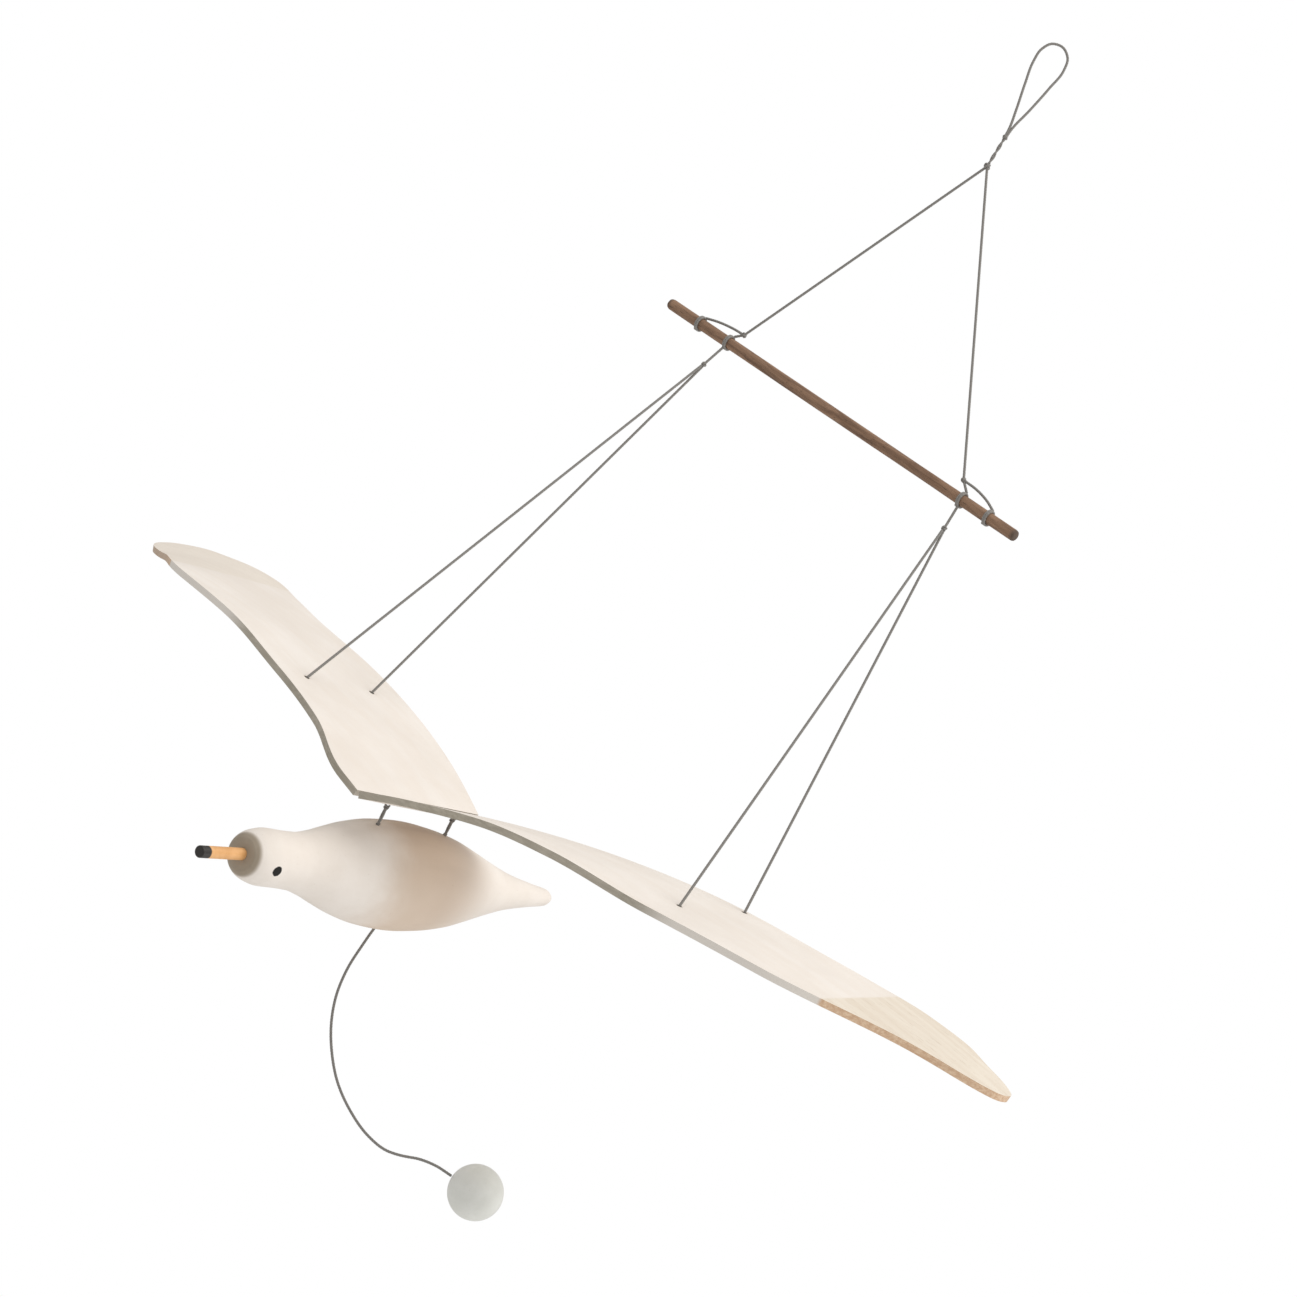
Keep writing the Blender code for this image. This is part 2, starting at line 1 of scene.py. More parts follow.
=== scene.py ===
"""The hanging gull mobile, dressed: laid cord, peeled twig, painted boards and a turned body."""
import math

import bmesh
import bpy
import numpy as np
from mathutils import Matrix, Vector, noise


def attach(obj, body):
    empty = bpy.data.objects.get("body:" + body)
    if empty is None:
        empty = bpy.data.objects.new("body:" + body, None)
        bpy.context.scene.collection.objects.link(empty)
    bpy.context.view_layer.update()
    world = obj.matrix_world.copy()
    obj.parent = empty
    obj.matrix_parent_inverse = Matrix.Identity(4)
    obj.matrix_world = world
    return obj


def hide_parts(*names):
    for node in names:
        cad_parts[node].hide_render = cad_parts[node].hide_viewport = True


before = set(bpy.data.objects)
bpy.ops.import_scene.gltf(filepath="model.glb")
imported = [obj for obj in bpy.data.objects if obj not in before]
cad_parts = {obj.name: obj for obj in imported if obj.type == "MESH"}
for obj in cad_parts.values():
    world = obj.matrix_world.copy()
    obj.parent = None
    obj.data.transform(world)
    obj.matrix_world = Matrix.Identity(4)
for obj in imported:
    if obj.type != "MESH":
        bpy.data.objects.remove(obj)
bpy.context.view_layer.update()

MM = 0.001

# The same places and sizes as the solids
ROOT_CENTRE = Vector((31.6, 0.0, -422.1)) * MM
BIRD_PITCH = math.radians(20.0)
WING_LENGTH = 240.0 * MM
ROOT_CHORD = 85.0 * MM
WING_THICKNESS = 2.8 * MM
WING_EDGE_ROUND = 0.7 * MM
ROOT_GAP = 0.6 * MM
WING_LIFT = math.radians(17.0)
WING_DROOP = 57.0 * MM
LEADING_EDGE = ((0, 0.44), (0.042, 0.445), (0.195, 0.262), (0.442, 0.085), (0.693, -0.075),
                (0.897, -0.57), (1, -0.775))
TRAILING_EDGE = ((0, -0.5), (0.146, -0.644), (0.293, -0.755), (0.442, -0.839), (0.592, -0.888),
                 (0.693, -0.99), (0.795, -1.12), (0.865, -1.14), (0.93, -1.07), (1, -1.02))
TIP_ROUND_FROM = 0.93
TIP_FULLNESS = 2.8
TIP_BLUNT = 0.2
LEADING_RISE = {
    "right": ((0, 0), (0.2, -0.4 * MM), (0.34, -0.4 * MM), (0.55, 1.8 * MM), (0.7, 2.0 * MM),
              (0.85, -0.9 * MM), (0.93, -2.4 * MM), (1, -2.2 * MM)),
    "left": ((0, 0), (0.1, 1.6 * MM), (0.2, 2.2 * MM), (0.32, 0.4 * MM), (0.5, -3.6 * MM),
             (0.75, -2.0 * MM), (0.9, -0.4 * MM), (1, 0.4 * MM))}
TRAILING_RISE = {
    "right": ((0, 0), (0.35, 0.2 * MM), (0.5, 0.7 * MM), (0.7, 2.6 * MM), (0.85, 4.1 * MM),
              (0.93, 3.7 * MM), (1, 1.8 * MM)),
    "left": ((0, 0), (1, 0))}
RIGHT_SLING_HOLES = {"out": 79.5 * MM, "front": -1.5 * MM, "rear": -44.5 * MM}
LEFT_SLING_HOLES = {"out": 116.0 * MM, "front": -22.5 * MM, "rear": -68.5 * MM}
SLING_HOLE_DIAMETER = 2.4 * MM
STOPPER_DIAMETER = 3.6 * MM
SLING_LIFT = 0.8 * MM
BODY_LENGTH = 198.5 * MM
BODY_RADIUS = 21.8 * MM
NOSE_FORWARD = 84.5 * MM
TIE_HEIGHT = 7.4 * MM
BODY_DROP = WING_THICKNESS + TIE_HEIGHT + BODY_RADIUS
BODY_TILT = math.radians(1.1)
BODY_PROFILE = ((0, 0.303), (0.0066, 0.381), (0.0252, 0.459), (0.058, 0.509), (0.1033, 0.505),
                (0.1436, 0.514), (0.194, 0.592), (0.2443, 0.716), (0.3048, 0.858),
                (0.3753, 0.963), (0.4559, 1), (0.5365, 0.954), (0.6171, 0.849),
                (0.6877, 0.693), (0.7582, 0.523), (0.8388, 0.353), (0.9295, 0.229),
                (0.9849, 0.165), (1, 0.106))
BEAK_DIAMETER = 4.7 * MM
BEAK_REACH = 23.5 * MM
BEAK_SOCKET_DEPTH = 8.0 * MM
BEAK_TILT = math.radians(3.5)
TIE_PLACES = {"front": 16.5 * MM, "rear": -27.0 * MM}
TIE_SPREAD = 1.3 * MM
TIE_KNOT_DIAMETER = 2.6 * MM
BAR_LENGTH = 208.0 * MM
BAR_DIAMETER = 5.0 * MM
BAR_CENTRE = Vector((-28.2, 4.0, -181.3)) * MM
BAR_TILT = math.radians(-4.9)
BAR_TURN = math.radians(1.1)
INNER_LASHING_SET_IN = {"right": 37.5 * MM, "left": 30.5 * MM}
OUTER_LASHING_SET_IN = {"right": 19.5 * MM, "left": 15.5 * MM}
LASHING_WIDTH = 2.8 * MM
LASHING_THICKNESS = 1.2 * MM
BRIDLE_SET_IN = {"right": 3.5 * MM, "left": 5.5 * MM}
BRIDLE_RISE = {"right": 2.6 * MM, "left": 3.4 * MM}
SPLIT_DROP = 15.0 * MM
CORD_DIAMETER = 1.2 * MM
KNOT_DIAMETER = 2.8 * MM
APEX_KNOT_DIAMETER = 3.6 * MM
APEX = Vector((-2.8, 4.2, -62.0)) * MM
LOOP_TIE_RISE = 15.0 * MM
GAP = 0.3 * MM
LOOP_SIDE = Vector((0.56, -0.83, 0.0)).normalized()
LOOP_POINTS = ((2.4, 18.6), (5.2, 28.0), (8.9, 39.0), (11.9, 49.0), (12.4, 55.5), (10.2, 60.4),
               (5.8, 62.0), (1.4, 59.6), (-0.6, 54.0), (-0.4, 44.0), (0.4, 31.0), (1.5, 19.0))
PULL_EXIT_FORWARD = -13.0 * MM
PULL_SIDE = Vector((-0.56, 0.83, 0.0)).normalized()
PULL_POINTS = ((0.0, 4.0), (0.0, -3.0), (0.4, -10.2), (1.4, -20.7), (4.6, -32.3), (10.2, -42.6),
               (17.0, -50.8), (26.0, -58.6), (37.0, -64.4), (48.5, -67.8), (57.5, -68.0),
               (64.0, -65.8), (70.0, -62.8), (77.0, -60.8), (84.3, -60.2))
PULL_CORD_STEP = 2.6
BALL_DIAMETER = 22.5 * MM

# Marks on the boards, the body and the beak
BARE_TIP_FROM = {"left": 187.0 * MM, "right": 186.0 * MM}
BARE_LINE_SLANT = 0.115
BARE_LINE_FORWARD = -13.0 * MM
BARE_LINE_FADE = 0.8 * MM
BARE_SHARE = {"left": 0.8, "right": 0.35}
PALE_RIM_FROM = 105.0 * MM
PALE_RIM_TO = 128.0 * MM
HOLE_WEAR_FROM = 1.15 * MM
HOLE_WEAR_TO = 1.7 * MM
# The body's middle: a painted shadow cast by the wings, with some wood showing through thin paint
SHADOW_AND_THIN_PAINT_FROM = -62.0 * MM
SHADOW_AND_THIN_PAINT_TO = 30.0 * MM
SHADOW_AND_THIN_PAINT_FADE = 26.0 * MM
SHADOW_AND_THIN_PAINT_WANDER = 6.0 * MM
# The body turns darker over its last few millimetres and on the nose's flat face
NOSE_FACE_DARK_FROM = NOSE_FORWARD - 2.4 * MM
NOSE_FACE_DARK_TO = NOSE_FORWARD - 0.6 * MM
EYE_FORWARD = 74.5 * MM
EYE_BELOW_AXIS = 0.6 * MM
EYE_REACH = 0.99
EYE_RADIUS = 2.1 * MM
EYE_EDGE = 0.18 * MM
EYE_WOBBLE = 0.9 * MM
BEAK_BLACK_LENGTH = 4.2 * MM
BEAK_BLACK_WOBBLE = 0.8 * MM

# How the laid cord and its knots are made
STRANDS = 3
STRAND_DEPTH = 0.2
CORD_LAY = 3.4 * MM
CORD_SIDES = 12
CORD_POINT_STEP = 0.42 * MM
CORD_END = 0.5
CORD_END_ROUNDING = 0.4
KNOT_POINTS = 84
KNOT_WAIST = 0.62
KNOT_LOBE = 0.30
KNOT_CORD = CORD_DIAMETER * 0.8
STOPPER_CORD = CORD_DIAMETER * 0.85
STOPPER_LOOP = 1.15 * MM
STOPPER_DROP = STOPPER_DIAMETER * 0.45
NECK_BELOW_MOUTH = 0.2 * MM
LASHING_CORD = CORD_DIAMETER * 0.92
LASHING_REACH = BAR_DIAMETER / 2 + CORD_DIAMETER * 0.46
LASHING_SPREAD = LASHING_WIDTH - CORD_DIAMETER * 0.9
LASHING_TURNS = 2.25
LASHING_POINTS_A_TURN = 44
BRIDLE_TOUCH = BAR_DIAMETER / 2 + CORD_DIAMETER * 0.7
BRIDLE_SAG_SHARE = 0.2
BRIDLE_ARCH = ((0.15, 0.4), (0.65, 2.4))
DROP_CORD_GAP = 0.4 * MM
SLING_ASIDE = CORD_DIAMETER * 0.35
SLING_BELOW_SPLIT = 0.8 * MM
SLING_INTO_HOLE = 0.4 * MM
LOOP_ENDS_ASIDE = 0.25 * MM
PULL_CORD_END = 0.9
STEM_CORD = 0.85 * MM
STEM_ASIDE = 0.42 * MM
STEM_TURNS = 1.5
STEM_POINTS = 40
TIE_CORD = 0.9 * MM
TIE_KNOT_CORD = 0.8 * MM
TIE_POINT_STEP = 0.4 * MM
TIE_UNDER_WING = 0.1 * MM
TIE_GATHERED_BELOW = TIE_KNOT_DIAMETER * 0.55
TIE_GATHERED_SHARE = 0.4
TIE_TWISTED_SHARE = 0.28
TIE_OVER_BACK = 0.2 * MM
LOWER_TIE_KNOT_SHARE = 0.75
LOWER_TIE_KNOT_OVER_BACK = 0.5 * MM

# How finely the wood is shaped, and its small cuts
WING_ROWS = 110
WING_COLUMNS = 20
TIP_CROWDING = 1.15
BODY_ROWS = 120
BODY_SIDES = 96
NOSE_FACE_SHARE = 0.6
BEAK_SIDES = 48
BEAK_END_ROUND = 0.6 * MM
BEAK_END_FLAT = 0.9 * MM
BEAK_ROUND_STEPS = 6
BEAK_SOCKET_PLAY = 0.08 * MM
BEAK_ROOT_PLAY = 0.2 * MM
EXIT_HOLE_DIAMETER = 1.8 * MM
EXIT_HOLE_DEPTH = 6.0 * MM
TIE_HOLE_DIAMETER = 1.5 * MM
TIE_HOLE_DEPTH = 4.0 * MM
BALL_HOLE_DIAMETER = 1.7 * MM
BALL_HOLE_DEPTH = 6.0 * MM
BALL_SEGMENTS = 72
BALL_RINGS = 48
TURNED_SHARP_ANGLE = math.radians(40)
TWIG_SHARP_ANGLE = math.radians(50)
TWIG_SIDES = 28
TWIG_RINGS = 150
TWIG_END_RINGS = 8
TWIG_SHAVED = 0.06 * MM
TWIG_SWELLS_ROUND = 1.4
TWIG_KNOBS_A_SWELL = 3.1
TWIG_END_LENGTH = 1.6 * MM
TWIG_END_SHARE = 0.66
TWIG_SWELLS_A_METRE = 22.0
TWIG_SWELL = 0.12 * MM
TWIG_KNOBS = 0.05 * MM

# Colours, from the darker to the paler where a surface varies
WING_PAINT = (0.825, 0.765, 0.705), (0.88, 0.83, 0.78)
WING_GRAIN = (0.74, 0.62, 0.50)
WING_SPECKS = (0.45, 0.36, 0.27)
HOLE_WEAR = (0.42, 0.33, 0.25)
BARE_WOOD = (0.72, 0.63, 0.51), (0.80, 0.73, 0.62)
BARE_PORES = (0.45, 0.34, 0.23)
RIM_PAINT = (0.31, 0.28, 0.22), (0.44, 0.40, 0.335)
RIM_FIBRES = (0.62, 0.57, 0.48)
PALE_RIM = (0.80, 0.755, 0.70)
RIM_WOOD = (0.62, 0.41, 0.26), (0.80, 0.60, 0.42)
# Painted shade on the downward-facing side of the bare rim
RIM_UNDERSIDE_SHADE = (0.25, 0.17, 0.11)
BODY_PAINT = (0.78, 0.72, 0.66), (0.85, 0.80, 0.75)
# A tan that stands for the wings' painted shadow on the body as well as its wood
BODY_SHADOW_AND_WOOD = (0.46, 0.31, 0.19), (0.58, 0.42, 0.28)
BODY_SPECKS = (0.4, 0.3, 0.22)
# Darker grey-brown for the nose's flat face
NOSE_FACE_DARK = (0.30, 0.25, 0.19), (0.42, 0.36, 0.285)
EYE_BLACK = (0.004, 0.0035, 0.003)
BEAK_PAINT = (0.70, 0.36, 0.13), (0.88, 0.50, 0.22)
BEAK_BLACK = (0.015, 0.012, 0.010)
BALL_PAINT = (0.68, 0.69, 0.65), (0.76, 0.77, 0.74)
BALL_SPECKS = (0.45, 0.45, 0.42)
TWIG_WOOD = (0.135, 0.072, 0.042), (0.285, 0.165, 0.10)
TWIG_LINES = (0.36, 0.225, 0.145)
TWIG_PORES = (0.05, 0.03, 0.02)
TWIG_ENDS = (0.10, 0.065, 0.045)
CORD_FIBRE = (0.20, 0.19, 0.178), (0.44, 0.425, 0.40)

# The photograph's viewing angle
CAMERA_PLACE = Vector((1102.54, 764.27, -542.86)) * MM
CAMERA_AHEAD = Vector((-0.81706, -0.55110, 0.16942))
CAMERA_RIGHT = Vector((-0.35504, 0.71246, 0.60527))
CAMERA_LENS = 92.94
SENSOR_WIDTH = 36.0

# The studio: each lamp's place, size, power and colour
LAMPS = {"overhead": ((0.3, 0.9, 1.6), 2.6, 34.0, (1.0, 0.97, 0.93)),
         "side_of_the_tail": ((-1.3, 1.7, -0.5), 2.2, 14.0, (1.0, 0.98, 0.96))}
LAMPS_POINT_AT = Vector((0.0, 0.0, -0.42))
ROOM_LIGHT = 0.62
ROOM_LIGHT_COLOUR = (1.0, 0.985, 0.965, 1.0)
FLOOR_HEIGHT = -1.6
FLOOR_RADIUS = 3.0
FLOOR_COLOUR = (0.9, 0.9, 0.9, 1.0)

# Where a Mix node keeps its share and colours among its sockets
MIX_INPUTS = (0, 6, 7)
MIX_RESULT = 2


# Places on the bird and the crossbar

def bird(forward, left, up):
    """A place in the bird frame, as a place in the mobile's frame."""
    turn = Matrix.Rotation(BIRD_PITCH, 3, "Y")
    return ROOT_CENTRE + turn @ Vector((forward, left, up))


def bird_level(forward, left, up):
    """The frame at a place on the bird, level with the bird itself."""
    return Matrix.Translation(bird(forward, left, up)) @ Matrix.Rotation(BIRD_PITCH, 4, "Y")


def bird_matrix(forward, left, up, axis):
    """The frame at a place on the bird whose Z runs along an axis given in the bird's frame."""
    facing = Vector(axis).to_track_quat("Z", "Y").to_matrix().to_4x4()
    return bird_level(forward, left, up) @ facing


def body_place(forward):
    """A place on the body's own axis, which drops slightly forward."""
    return forward, 0.0, -BODY_DROP - forward * math.tan(BODY_TILT)


def body_axis():
    """The body's own direction, in the bird's frame."""
    return math.cos(BODY_TILT), 0.0, -math.sin(BODY_TILT)


def wing_section(out):
    """Sideways and up along a wing's arch, before it is warped."""
    droop = -WING_DROOP * (out / WING_LENGTH) ** 2
    sideways = out * math.cos(WING_LIFT) - droop * math.sin(WING_LIFT)
    up = out * math.sin(WING_LIFT) + droop * math.cos(WING_LIFT)
    return sideways, up


def wing_slope(out):
    return WING_LIFT - math.atan(2 * WING_DROOP * out / WING_LENGTH ** 2)


def wing_edges(share):
    """The leading and trailing edges' places at shares of the length, before the tip is rounded."""
    return tuple(smooth_through(edge, share) * ROOT_CHORD for edge in (LEADING_EDGE, TRAILING_EDGE))


def wing_warp(side, share, forward):
    """How far a board is warped up at a share of its length and a place along its chord."""
    lead, trail = (float(edge[0]) for edge in wing_edges(np.array([share])))
    behind = (lead - forward) / (lead - trail)
    front, back = (float(smooth_through(rise[side], np.array([share]))[0])
                   for rise in (LEADING_RISE, TRAILING_RISE))
    return front + (back - front) * behind


def hole_up(side, holes, end):
    """The height of a sling hole's mouth on the warped top face."""
    share = holes["out"] / WING_LENGTH
    return wing_section(holes["out"])[1] + wing_warp(side, share, holes[end])


def sling_hole_matrix(side, sign, holes, end):
    """A sling hole's frame: its mouth on the top face, with Z along the hole."""
    slope = wing_slope(holes["out"])
    axis = (0, -sign * math.sin(slope), math.cos(slope))
    sideways = wing_section(holes["out"])[0]
    return bird_matrix(holes[end], sign * (ROOT_GAP + sideways), hole_up(side, holes, end), axis)


def rock_matrix(side, sign, holes):
    """A wing's own frame: midway between its sling holes, along the bird."""
    forward = (holes["front"] + holes["rear"]) / 2
    up = sum(hole_up(side, holes, end) for end in ("front", "rear")) / 2
    return bird_level(forward, sign * (ROOT_GAP + wing_section(holes["out"])[0]), up)


def bar_direction():
    """The bar's own direction, to the left."""
    return Vector((-math.sin(BAR_TURN) * math.cos(BAR_TILT), math.cos(BAR_TURN) * math.cos(BAR_TILT),
                   math.sin(BAR_TILT))).normalized()


def bar_place(along, over=0.0):
    """A place along the bar's own line, and how far over it."""
    way = bar_direction()
    across = way.cross(Vector((1, 0, 0))).normalized()
    up = across if across.z > 0 else -across
    return BAR_CENTRE + way * along + up * over


def smooth_through(stations, at):
    """A smooth curve through (place, value) stations, read at the given places."""
    places, values = np.array(sorted(stations), float).T
    steps = np.diff(places)
    slopes = np.diff(values) / steps
    tangents = np.zeros(len(places))
    same_way = slopes[:-1] * slopes[1:] > 0
    inner = 2 * slopes[:-1] * slopes[1:] / np.where(same_way, slopes[:-1] + slopes[1:], 1)
    tangents[1:-1] = np.where(same_way, inner, 0)
    tangents[0], tangents[-1] = slopes[0], slopes[-1]
    cell = np.clip(np.searchsorted(places, at) - 1, 0, len(steps) - 1)
    share = (at - places[cell]) / steps[cell]
    start = (1 + 2 * share) * (1 - share) ** 2 * values[cell]
    start += share * (1 - share) ** 2 * steps[cell] * tangents[cell]
    end = share ** 2 * (3 - 2 * share) * values[cell + 1]
    end -= share ** 2 * (1 - share) * steps[cell] * tangents[cell + 1]
    return start + end


def round_route(points, step):
    """Points at about the given step along a smooth curve through a route's own points."""
    route = np.array(points, float)
    spans = np.linalg.norm(np.diff(route, axis=0), axis=1)
    along = np.concatenate([[0], np.cumsum(spans)])
    tangents = np.gradient(route, along, axis=0)
    count = max(2, int(round(along[-1] / step)) + 1)
    at = np.linspace(0, along[-1], count)
    cell = np.clip(np.searchsorted(along, at) - 1, 0, len(spans) - 1)
    share = ((at - along[cell]) / spans[cell])[:, None]
    width = spans[cell][:, None]
    start = (1 + 2 * share) * (1 - share) ** 2 * route[cell]
    start += share * (1 - share) ** 2 * width * tangents[cell]
    end = share ** 2 * (3 - 2 * share) * route[cell + 1]
    end -= share ** 2 * (1 - share) * width * tangents[cell + 1]
    return start + end


def body_stations():
    """The profile's points as (forward of the root's middle, radius)."""
    return [(NOSE_FORWARD - back * BODY_LENGTH, girth * BODY_RADIUS) for back, girth in BODY_PROFILE]


def body_radius(forward):
    return float(smooth_through(body_stations(), np.array([forward]))[0])


def body_matrix():
    return bird_matrix(*body_place(0.0), body_axis())


def beak_matrix():
    down = BODY_TILT + BEAK_TILT
    return bird_matrix(*body_place(NOSE_FORWARD), (math.cos(down), 0, -math.sin(down)))


def bar_matrix():
    facing = bar_direction().to_track_quat("Y", "Z").to_matrix().to_4x4()
    return Matrix.Translation(BAR_CENTRE) @ facing


def belly_place():
    """Where the pull cord leaves the belly."""
    forward, left, up = body_place(PULL_EXIT_FORWARD)
    return bird(forward, left, up - body_radius(PULL_EXIT_FORWARD))


# Node helpers and the effects that several finishes share

def add_node(tree, kind, **values):
    """A node with its settings, or the sockets of the same names, given values."""
    made = tree.nodes.new(kind)
    for name, value in values.items():
        if hasattr(made, name):
            setattr(made, name, value)
        else:
            made.inputs[name.replace("_", " ")].default_value = value
    return made


def math_node(tree, operation, first, second=None):
    made = tree.nodes.new("ShaderNodeMath")
    made.operation = operation
    for socket, value in zip(made.inputs, (first, second)):
        if isinstance(value, (int, float)):
            socket.default_value = value
        elif value is not None:
            tree.links.new(value, socket)
    return made.outputs[0]


def ramp_between(tree, value, low, high):
    """0 below low, 1 above high, and smooth between."""
    made = tree.nodes.new("ShaderNodeMapRange")
    made.interpolation_type = "SMOOTHSTEP"
    tree.links.new(value, made.inputs["Value"])
    made.inputs["From Min"].default_value = low
    made.inputs["From Max"].default_value = high
    return made.outputs["Result"]


def mix_colours(tree, share, first, second):
    made = tree.nodes.new("ShaderNodeMix")
    made.data_type = "RGBA"
    for place, value in zip(MIX_INPUTS, (share, first, second)):
        if isinstance(value, tuple):
            made.inputs[place].default_value = (*value, 1.0)
        else:
            tree.links.new(value, made.inputs[place])
    return made.outputs[MIX_RESULT]


def tinted(tree, colour, tint, mask, strength):
    """The colour with a tint laid over it, as far as the mask times the strength."""
    return mix_colours(tree, math_node(tree, "MULTIPLY", mask, strength), colour, tint)


def inverse(tree, mask):
    """1 where the mask is 0, and 0 where it is 1."""
    return math_node(tree, "SUBTRACT", 1.0, mask)


def new_group(name, inputs, outputs):
    """A shader node group with its named inputs and outputs."""
    group = bpy.data.node_groups.new(name, "ShaderNodeTree")
    for label, kind, default in inputs:
        socket = group.interface.new_socket(label, in_out="INPUT", socket_type=kind)
        if default is not None:
            socket.default_value = default
    for label, kind in outputs:
        group.interface.new_socket(label, in_out="OUTPUT", socket_type=kind)
    return group, group.nodes.new("NodeGroupInput"), group.nodes.new("NodeGroupOutput")


def stretched(tree, vector, scale):
    """A vector with each axis scaled."""
    made = tree.nodes.new("ShaderNodeMapping")
    made.inputs["Scale"].default_value = scale
    tree.links.new(vector, made.inputs["Vector"])
    return made.outputs["Vector"]


def make_brushed_paint():
    """Thin matt paint over wood: faint brush marks, patches and specks, as masks and a height."""
    group, given, out = new_group(
        "Brushed Paint", [("Vector", "NodeSocketVector", None), ("Patch Size", "NodeSocketFloat", 60.0),
                          ("Speck Size", "NodeSocketFloat", 900.0)],
        [("Patches", "NodeSocketFloat"), ("Specks", "NodeSocketFloat"), ("Height", "NodeSocketFloat")])
    patches = add_node(group, "ShaderNodeTexNoise", Detail=4.0, Roughness=0.6)
    group.links.new(given.outputs["Vector"], patches.inputs["Vector"])
    group.links.new(given.outputs["Patch Size"], patches.inputs["Scale"])
    group.links.new(ramp_between(group, patches.outputs["Fac"], 0.3, 0.75), out.inputs["Patches"])
    specks = add_node(group, "ShaderNodeTexNoise", Detail=2.0, Roughness=0.5)
    group.links.new(given.outputs["Vector"], specks.inputs["Vector"])
    group.links.new(given.outputs["Speck Size"], specks.inputs["Scale"])
    group.links.new(ramp_between(group, specks.outputs["Fac"], 0.66, 0.78), out.inputs["Specks"])
    strokes = add_node(group, "ShaderNodeTexNoise", Scale=420.0, Detail=3.0, Roughness=0.55)
    group.links.new(stretched(group, given.outputs["Vector"], (1.0, 0.07, 1.0)),
                    strokes.inputs["Vector"])
    fine = add_node(group, "ShaderNodeTexNoise", Scale=2600.0, Detail=2.0, Roughness=0.6)
    group.links.new(given.outputs["Vector"], fine.inputs["Vector"])
    height = math_node(group, "ADD", math_node(group, "MULTIPLY", strokes.outputs["Fac"], 0.7),
                       math_node(group, "MULTIPLY", fine.outputs["Fac"], 0.3))
    group.links.new(height, out.inputs["Height"])
    return group


def make_wood_grain():
    """Grain that runs along Y of its vector: broad figure, fine lines and pores."""
    group, given, out = new_group(
        "Wood Grain", [("Vector", "NodeSocketVector", None), ("Ring Size", "NodeSocketFloat", 160.0),
                       ("Pore Size", "NodeSocketFloat", 1500.0)],
        [("Figure", "NodeSocketFloat"), ("Lines", "NodeSocketFloat"), ("Pores", "NodeSocketFloat")])
    bend = add_node(group, "ShaderNodeTexNoise", Scale=14.0, Detail=3.0, Roughness=0.5)
    group.links.new(given.outputs["Vector"], bend.inputs["Vector"])
    shift = group.nodes.new("ShaderNodeVectorMath")
    shift.operation = "MULTIPLY_ADD"
    group.links.new(bend.outputs["Color"], shift.inputs[0])
    shift.inputs[1].default_value = Vector((12.0, 12.0, 12.0)) * MM
    group.links.new(given.outputs["Vector"], shift.inputs[2])
    figure = add_node(group, "ShaderNodeTexNoise", Detail=3.0, Roughness=0.55)
    group.links.new(stretched(group, shift.outputs[0], (1.0, 0.06, 1.0)), figure.inputs["Vector"])
    group.links.new(given.outputs["Ring Size"], figure.inputs["Scale"])
    group.links.new(ramp_between(group, figure.outputs["Fac"], 0.32, 0.7), out.inputs["Figure"])
    lines = add_node(group, "ShaderNodeTexNoise", Scale=900.0, Detail=4.0, Roughness=0.65)
    group.links.new(stretched(group, shift.outputs[0], (1.0, 0.035, 1.0)), lines.inputs["Vector"])
    group.links.new(ramp_between(group, lines.outputs["Fac"], 0.35, 0.72), out.inputs["Lines"])
    pores = add_node(group, "ShaderNodeTexNoise", Detail=1.0, Roughness=0.5)
    group.links.new(stretched(group, shift.outputs[0], (1.0, 0.1, 1.0)), pores.inputs["Vector"])
    group.links.new(given.outputs["Pore Size"], pores.inputs["Scale"])
    group.links.new(ramp_between(group, pores.outputs["Fac"], 0.64, 0.74), out.inputs["Pores"])
    return group


def make_fibre():
    """Loose fibres and dust on cord: a colour share and a height."""
    group, given, out = new_group(
        "Cord Fibre", [("Vector", "NodeSocketVector", None), ("Fibre Size", "NodeSocketFloat", 5200.0)],
        [("Pale Fibres", "NodeSocketFloat"), ("Height", "NodeSocketFloat")])
    fibres = add_node(group, "ShaderNodeTexNoise", Detail=5.0, Roughness=0.7)
    group.links.new(given.outputs["Vector"], fibres.inputs["Vector"])
    group.links.new(given.outputs["Fibre Size"], fibres.inputs["Scale"])
    group.links.new(ramp_between(group, fibres.outputs["Fac"], 0.45, 0.75), out.inputs["Pale Fibres"])
    group.links.new(fibres.outputs["Fac"], out.inputs["Height"])
    return group


def start_material(name, roughness):
    made = bpy.data.materials.new(name)
    made.use_nodes = True
    tree = made.node_tree
    shader = tree.nodes["Principled BSDF"]
    shader.inputs["Roughness"].default_value = roughness
    place = tree.nodes.new("ShaderNodeTexCoord")
    return made, tree, shader, place


def use_group(tree, group, vector, **values):
    made = tree.nodes.new("ShaderNodeGroup")
    made.node_tree = group
    tree.links.new(vector, made.inputs["Vector"])
    for name, value in values.items():
        made.inputs[name.replace("_", " ")].default_value = value
    return made


def use_bump(tree, shader, height, strength, distance):
    made = add_node(tree, "ShaderNodeBump", Strength=strength, Distance=distance)
    tree.links.new(height, made.inputs["Height"])
    tree.links.new(made.outputs["Normal"], shader.inputs["Normal"])


def in_frame(tree, place, matrix):
    """The object's coordinates read in the frame that the matrix gives."""
    made = tree.nodes.new("ShaderNodeMapping")
    made.vector_type = "TEXTURE"
    made.inputs["Location"].default_value = matrix.to_translation()
    made.inputs["Rotation"].default_value = matrix.to_euler("XYZ")
    tree.links.new(place.outputs["Object"], made.inputs["Vector"])
    return made.outputs["Vector"]


